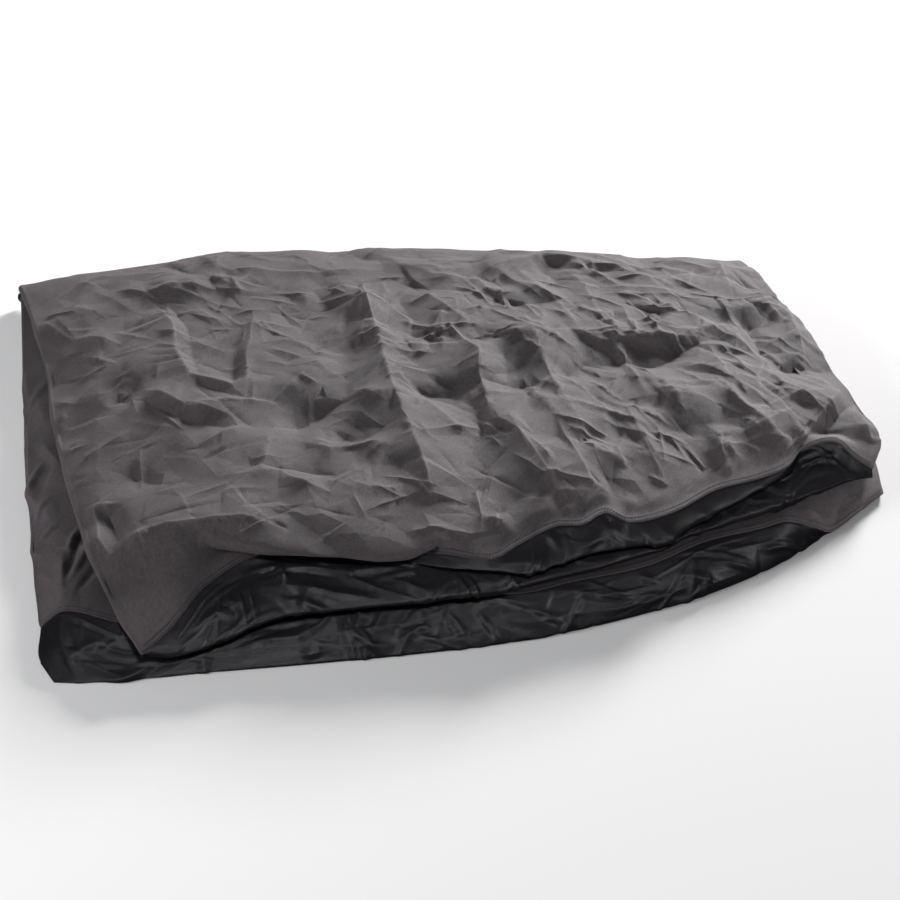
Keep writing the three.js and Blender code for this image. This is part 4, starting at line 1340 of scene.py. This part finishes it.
upper, upper_inner, upper_flat = upper_panel()
upper_skin = np.arange(upper[..., 0].size).reshape(upper.shape[:2])
upper_panel_piece = cloth_piece(
    "upper_panel_cloth", upper, upper_inner, upper_flat, np.zeros(upper.shape[:2]), GREY_CLOTH,
    upper_facets(upper_flat, upper_skin))

# %% [markdown]
# The upper skirt hangs from the panel's seam. Its first row starts under the panel's edge, as in a lapped
# seam. Thin coated nylon takes many short slanting wrinkles, which run down from the seam. A cloth simulation
# would fold it too, but not in the folds of the photograph, so it follows the section and gets the wrinkles
# that were picked there, as heights on the flat cloth.

# %% Upper skirt
LAP = 0.3
LAP_REACH = 4.0
SKIRT_COLUMNS = 541
SKIRT_SLACK, SKIRT_LEAST = 1.5, 2.5
# painted light on the skirts: a highlight along wrinkle ridges, and rolls painted paler
RIDGE_HIGHLIGHT_SHARE = 0.12
ROLL_PAINTED_LIGHT_SHARE = 0.03


def skirt_grid(section, rows, picked, loose, edge_fade, painted_light_row):
    """A skirt: its section at even columns, dropped under the panel along the seam, with its picked and its
    loose wrinkles. From the row painted_light_row on, its rolls are painted paler where light falls on them,
    and the ridges of its wrinkles get a painted highlight."""
    u = np.linspace(1, 0, SKIRT_COLUMNS)
    points = laid_top(section, u, rows)
    flat = flat_place(points)
    wrinkles = read_off(picked, points, flat, SKIRT_SLACK, SKIRT_LEAST) + loose
    height, painted_light_mask = crease_height(flat[..., 0], flat[..., 1], wrinkles)
    height *= (smooth(u / edge_fade) * smooth((1 - u) / edge_fade))[:, None]
    # painted highlight on wrinkle ridges, plus painted light that makes the rolls paler
    painted_light = RIDGE_HIGHLIGHT_SHARE * painted_light_mask + ROLL_PAINTED_LIGHT_SHARE * smooth((rows - painted_light_row) / 0.5)
    height = height * smooth(flat[..., 1] / 8) - LAP * (1 - smooth(flat[..., 1] / LAP_REACH))
    return points + normals(points) * height[..., None], inner_grid(points, height, 0.0), flat, painted_light


# Name, unit of the line's points, rise, reaches to the left and right, and the line
UPPER_WRINKLES = [
    ("roll crisp a", PIXELS, 5, 8, 14, [(240, 590), (247, 625)]),
    ("roll crisp b", PIXELS, 4, 12, 7, [(247, 588), (256, 620)]),
    ("roll left", PIXELS, 4, 12, 8, [(225, 598), (243, 606)]),
    ("roll left b", PIXELS, 4, 14, 8, [(190, 628), (215, 615), (235, 612)]),
    ("roll top", PIXELS, 5, 18, 10, [(235, 578), (270, 567), (350, 572), (400, 565)]),
    ("roll top b", PIXELS, 4, 8, 10, [(280, 567), (288, 580)]),
    ("roll middle", PIXELS, 5, 18, 10, [(290, 583), (340, 594), (375, 598)]),
    ("roll low", PLACES, 4, 12, 8, [(915, 100), (880, 122)]),
    ("roll middle b", PIXELS, 4, 14, 10, [(340, 575), (380, 588)]),
    ("roll middle c", PIXELS, 4, 14, 10, [(385, 575), (425, 590), (440, 588)]),
    ("double a", PLACES, 4, 7, 8, [(692, 85), (680, 130)]),
    ("double b", PLACES, 4, 7, 8, [(679, 82), (667, 125)]),
    ("short", PLACES, 4, 8, 8, [(622, 90), (606, 135)]),
    ("flap light", PIXELS, 5, 24, 10, [(640, 523), (680, 542)]),
    ("flap a", PLACES, 3, 14, 10, [(555, 5), (540, 45)]),
    ("flap b", PIXELS, 3, 14, 10, [(600, 520), (612, 548)]),
    ("flap c", PIXELS, 4, 18, 10, [(655, 522), (700, 535)]),
    ("flap d", PIXELS, 4, 16, 10, [(700, 508), (735, 520)]),
    ("flap e", PIXELS, 4, 16, 10, [(760, 485), (790, 497)]),
    ("flap f", PIXELS, 3, 16, 10, [(500, 562), (545, 565)]),
    ("flap g", PIXELS, 4, 18, 12, [(575, 545), (640, 540)]),
    ("right end a", PLACES, 4, 10, 6, [(150, 12), (100, 30), (40, 34)]),
    ("right end b", PLACES, -3, 8, 8, [(125, 5), (108, 40)]),
    ("right end c", PLACES, 4, 9, 5, [(180, 50), (120, 62), (60, 60)]),
    ("right end d", PLACES, 3, 7, 5, [(88, 8), (70, 45)]),
    ("right c", PIXELS, 5, 16, 10, [(720, 530), (770, 512), (820, 495)]),
]
UPPER_LOOSE = (loose_creases(11, 36, (0, 1150, 45, 120), (1.0, 2.6), (30, 90), (7, 14), 65, 30)
               + loose_creases(12, 60, (0, 1150, 10, 120), (1.0, 2.4), (40, 160), (4, 9), -6, 14))
upper_skirt_piece = cloth_piece(
    "upper_skirt_cloth",
    *skirt_grid(upper_section, UPPER_SKIRT_ROWS, UPPER_WRINKLES, UPPER_LOOSE, edge_fade=0.07, painted_light_row=9.6),
    BLACK_CLOTH)

# %% [markdown]
# The lower sheet shows as a grey strip on the left, two grey facets at the right end and the lowest black
# roll along the front. It is made in the same way as the upper one, with its own wrinkles.

# %% Lower panel and lower skirt
# Rise, reaches to the left and right, and the line's points in the plan
LOWER_CREASES = [
    (6, 34, 20, [(-610, 60), (-585, -60), (-560, -150)]),
    (4, 22, 20, [(-640, 200), (-620, 120)]),
    (5, 18, 12, [(-615, 100), (-595, 155)]),
    (5, 18, 14, [(-575, -5), (-535, -75)]),
    (7, 12, 9, [(-575, -115), (-565, -55)]),
    (6, 12, 8, [(-555, -180), (-540, -140)]),
    (6, 10, 7, [(-540, -225), (-520, -205)]),
    (8, 9, 7, [(-505, -255), (-490, -260), (-485, -220)]),
    (-6, 9, 9, [(-485, -315), (-480, -235)]),
    (6, 10, 8, [(-480, -330), (-465, -260), (-455, -225)]),
    (5, 14, 8, [(-485, -350), (-500, -265)]),
    (-5, 10, 10, [(-465, -350), (-440, -280)]),
    (5, 24, 14, [(-600, -80), (-540, -170)]),
    (5, 22, 14, [(-590, -190), (-530, -260)]),
    (9, 16, 12, [(555, -165), (575, -185), (591, -199)]),
    (-8, 10, 10, [(622, -125), (612, -160), (599, -195)]),
    (9, 12, 9, [(650, -115), (642, -140), (633, -164)]),
]


def lower_panel():
    """Grid of the lower panel, raised by its creases and by the relief of its seam."""
    points, creased = lower_panel_grid(LOWER_ROWS)
    flat = flat_place(points)
    small = loose_creases(21, 70, (-680, -350, -400, 420), (1.2, 3.6), (30, 110), (8, 22), -65, 30)
    height, painted_light_mask = crease_height(points[..., 0], points[..., 1], LOWER_CREASES + small)
    rows = smooth((LOWER_ROWS - 0.8) / 1.2) * smooth((LOWER_SEAM - 0.05 - LOWER_ROWS) / 0.5)
    height = height * creased[:, None] * rows
    # painted highlight along the ridges of the lower panel's creases
    painted_light = RIDGE_HIGHLIGHT_SHARE * painted_light_mask * creased[:, None] * rows
    to_seam = flat[:, -1:, 1] - flat[..., 1]
    height += seam_relief(flat[..., 0], to_seam) * creased[:, None]
    return points + normals(points) * height[..., None], inner_grid(points, height, 0.0), flat, painted_light


lower, lower_inner, lower_flat, lower_painted_light = lower_panel()
lower_panel_piece = cloth_piece("lower_panel_cloth", lower, lower_inner, lower_flat, lower_painted_light, GREY_CLOTH)
LOWER_WRINKLES = [
    ("left long fold", PIXELS, 5, 18, 10, [(250, 640), (275, 638), (300, 636), (320, 625)]),
    ("left slant", PIXELS, 5, 14, 8, [(345, 630), (375, 645), (385, 652)]),
    ("middle short a", PIXELS, 4, 8, 8, [(445, 615), (462, 640)]),
    ("middle short b", PLACES, 4, 7, 9, [(728, 35), (703, 68)]),
    ("middle short c", PIXELS, 4, 8, 8, [(480, 610), (500, 640)]),
    ("left of the middle", PIXELS, 4, 12, 10, [(400, 640), (430, 620)]),
    ("middle bend", PIXELS, 4, 14, 10, [(530, 605), (560, 620), (575, 622)]),
    ("middle long", PIXELS, 4, 14, 10, [(560, 590), (640, 600)]),
    ("right of the middle", PIXELS, 3, 10, 8, [(640, 575), (660, 582)]),
    ("left corner", PLACES, 6, 16, 12, [(1255, 5), (1250, 70), (1255, 110)]),
    ("left corner short", PIXELS, 4, 14, 10, [(75, 648), (100, 640)]),
    ("left corner fold", PIXELS, 6, 16, 10, [(105, 682), (148, 665)]),
    ("left low fold", PIXELS, 4, 14, 10, [(170, 668), (200, 655), (230, 652)]),
    ("left low short", PIXELS, 4, 12, 10, [(300, 655), (330, 648)]),
    ("right rise", PIXELS, 4, 14, 10, [(600, 612), (650, 600), (700, 580)]),
    ("right short a", PIXELS, 4, 12, 8, [(680, 575), (720, 585)]),
    ("right short b", PIXELS, 4, 12, 8, [(720, 560), (760, 570)]),
    ("right short c", PIXELS, 4, 12, 10, [(760, 548), (800, 552)]),
]
LOWER_LOOSE = (loose_creases(31, 40, (0, 1250, 10, 90), (1.0, 2.6), (30, 90), (7, 14), 70, 30)
               + loose_creases(32, 60, (0, 1250, 5, 85), (1.0, 2.4), (40, 180), (4, 9), -6, 14))
lower_skirt_piece = cloth_piece(
    "lower_skirt_cloth",
    *skirt_grid(lower_section, LOWER_SKIRT_ROWS, LOWER_WRINKLES, LOWER_LOOSE, edge_fade=0.05, painted_light_row=4.5),
    BLACK_CLOTH)

# %% [markdown]
# Each seam is topstitched in two rows. A stitch is a short spindle of thread that sinks into the cloth at
# both ends. All the stitches of a row are one mesh, made by placing one small grid many times with numpy.

# %% Topstitching
STITCH_PITCH = 4.6
STITCH_LENGTH = 3.2
STITCH_RADIUS = 0.65
STITCH_ROWS = (2.5, 8.5)
STITCH_LIFT = 0.1
STITCH_RINGS, STITCH_SIDES = 5, 6
STITCH_POINTS = STITCH_RINGS * STITCH_SIDES


def stitch_mesh(centres, along, up, first):
    """Vertices and faces of many stitches: a six-sided spindle, thickest in its middle, at each centre. The
    radius is the root of one less most of the squared share of the half length. Vertices count from first."""
    turn = np.linspace(0, 2 * np.pi, STITCH_SIDES, endpoint=False)
    run = np.linspace(-1, 1, STITCH_RINGS)
    radius = STITCH_RADIUS * np.sqrt(np.clip(1 - 0.92 * run ** 2, 0, 1))
    side = np.cross(along, up)
    ring = (up[:, None, None] * (radius[:, None] * np.sin(turn))[None, :, :, None]
            + side[:, None, None] * (radius[:, None] * np.cos(turn))[None, :, :, None])
    spine = along[:, None, None] * (run * STITCH_LENGTH / 2)[None, :, None, None]
    points = centres[:, None, None] + spine + ring
    index = np.arange(STITCH_POINTS).reshape(STITCH_RINGS, STITCH_SIDES)
    after = np.roll(index, -1, axis=1)
    walls = np.stack([index[:-1], after[:-1], after[1:], index[1:]], axis=-1).reshape(-1, 4)
    offset = first + STITCH_POINTS * np.arange(len(centres))[:, None, None]
    caps = np.stack([index[0, ::-1], index[-1]])
    walls, caps = (walls + offset).reshape(-1, 4), (caps + offset).reshape(-1, STITCH_SIDES)
    return points.reshape(-1, 3), walls.tolist() + caps.tolist()


def row_at(points, flat, distance):
    """Line across a grid at a distance from its last row, measured on the flat cloth of each column."""
    to_edge = flat[:, -1:, 1] - flat[..., 1]
    k = np.clip((to_edge > distance).sum(axis=1) - 1, 0, points.shape[1] - 2)
    column = np.arange(len(points))
    far, near = to_edge[column, k], to_edge[column, k + 1]
    t = np.clip((far - distance) / np.maximum(far - near, 1e-6), 0, 1)[:, None]
    out = normals(points)
    place = mix(points[column, k], points[column, k + 1], t)
    return place, mix(out[column, k], out[column, k + 1], t)


def stitch_row(line, out, first):
    """Stitches every STITCH_PITCH along a line of points, with their upward directions."""
    run = np.concatenate([[0], np.cumsum(np.linalg.norm(np.diff(line, axis=0), axis=1))])
    at = np.arange(STITCH_PITCH, run[-1] - STITCH_PITCH, STITCH_PITCH)
    centre = values_at(at, run, line)
    along = unit(values_at(at + 1, run, line) - centre)
    up = values_at(at, run, out)
    up = unit(up - along * (up * along).sum(axis=1, keepdims=True))
    return stitch_mesh(centre + up * (OUTER_SHARE + STITCH_LIFT), along, up, first)


def stitches(name, rows, material):
    """One joined mesh of several rows of stitches, in metres at its place in the frame."""
    vertices, faces, count = [], [], 0
    for line, out in rows:
        more, polygons = stitch_row(line, out, count)
        vertices.append(more)
        faces += polygons
        count += len(more)
    mesh = bpy.data.meshes.new(name)
    mesh.from_pydata(((np.concatenate(vertices) - MIDDLE) * MM).tolist(), [], faces)
    mesh.shade_smooth()
    mesh.materials.append(material)
    piece = bpy.data.objects.new(name, mesh)
    bpy.context.scene.collection.objects.link(piece)
    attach(piece, "root")
    print(name, "has", count // STITCH_POINTS, "stitches")
    return piece


upper_stitches = stitches(
    "upper_seam_stitches",
    [row_at(upper[UPPER_TOP], upper_flat[UPPER_TOP], d) for d in STITCH_ROWS], DARK_THREAD)
lower_stitches = stitches(
    "lower_seam_stitches",
    [row_at(lower[LOWER_TOP], lower_flat[LOWER_TOP], d) for d in STITCH_ROWS], DARK_THREAD)

# %% [markdown]
# The last cell says which pieces each light falls on, and hides the solids under the cloth.

def falls_on(light, pieces):
    """Makes a light fall on these pieces alone."""
    lit = bpy.data.collections.new(light.name + "_falls_on")
    for piece in pieces:
        lit.objects.link(piece)
    light.light_linking.receiver_collection = lit


GREY = [upper_panel_piece, lower_panel_piece, upper_stitches, lower_stitches]
BLACK = [upper_skirt_piece, lower_skirt_piece]
falls_on(back_light, GREY)
falls_on(plain_back_light, [*BLACK, studio_floor])
falls_on(front_light, BLACK)
falls_on(right_light, GREY)
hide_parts("upper_panel")
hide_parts("upper_skirt")
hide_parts("lower_panel")
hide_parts("lower_skirt")
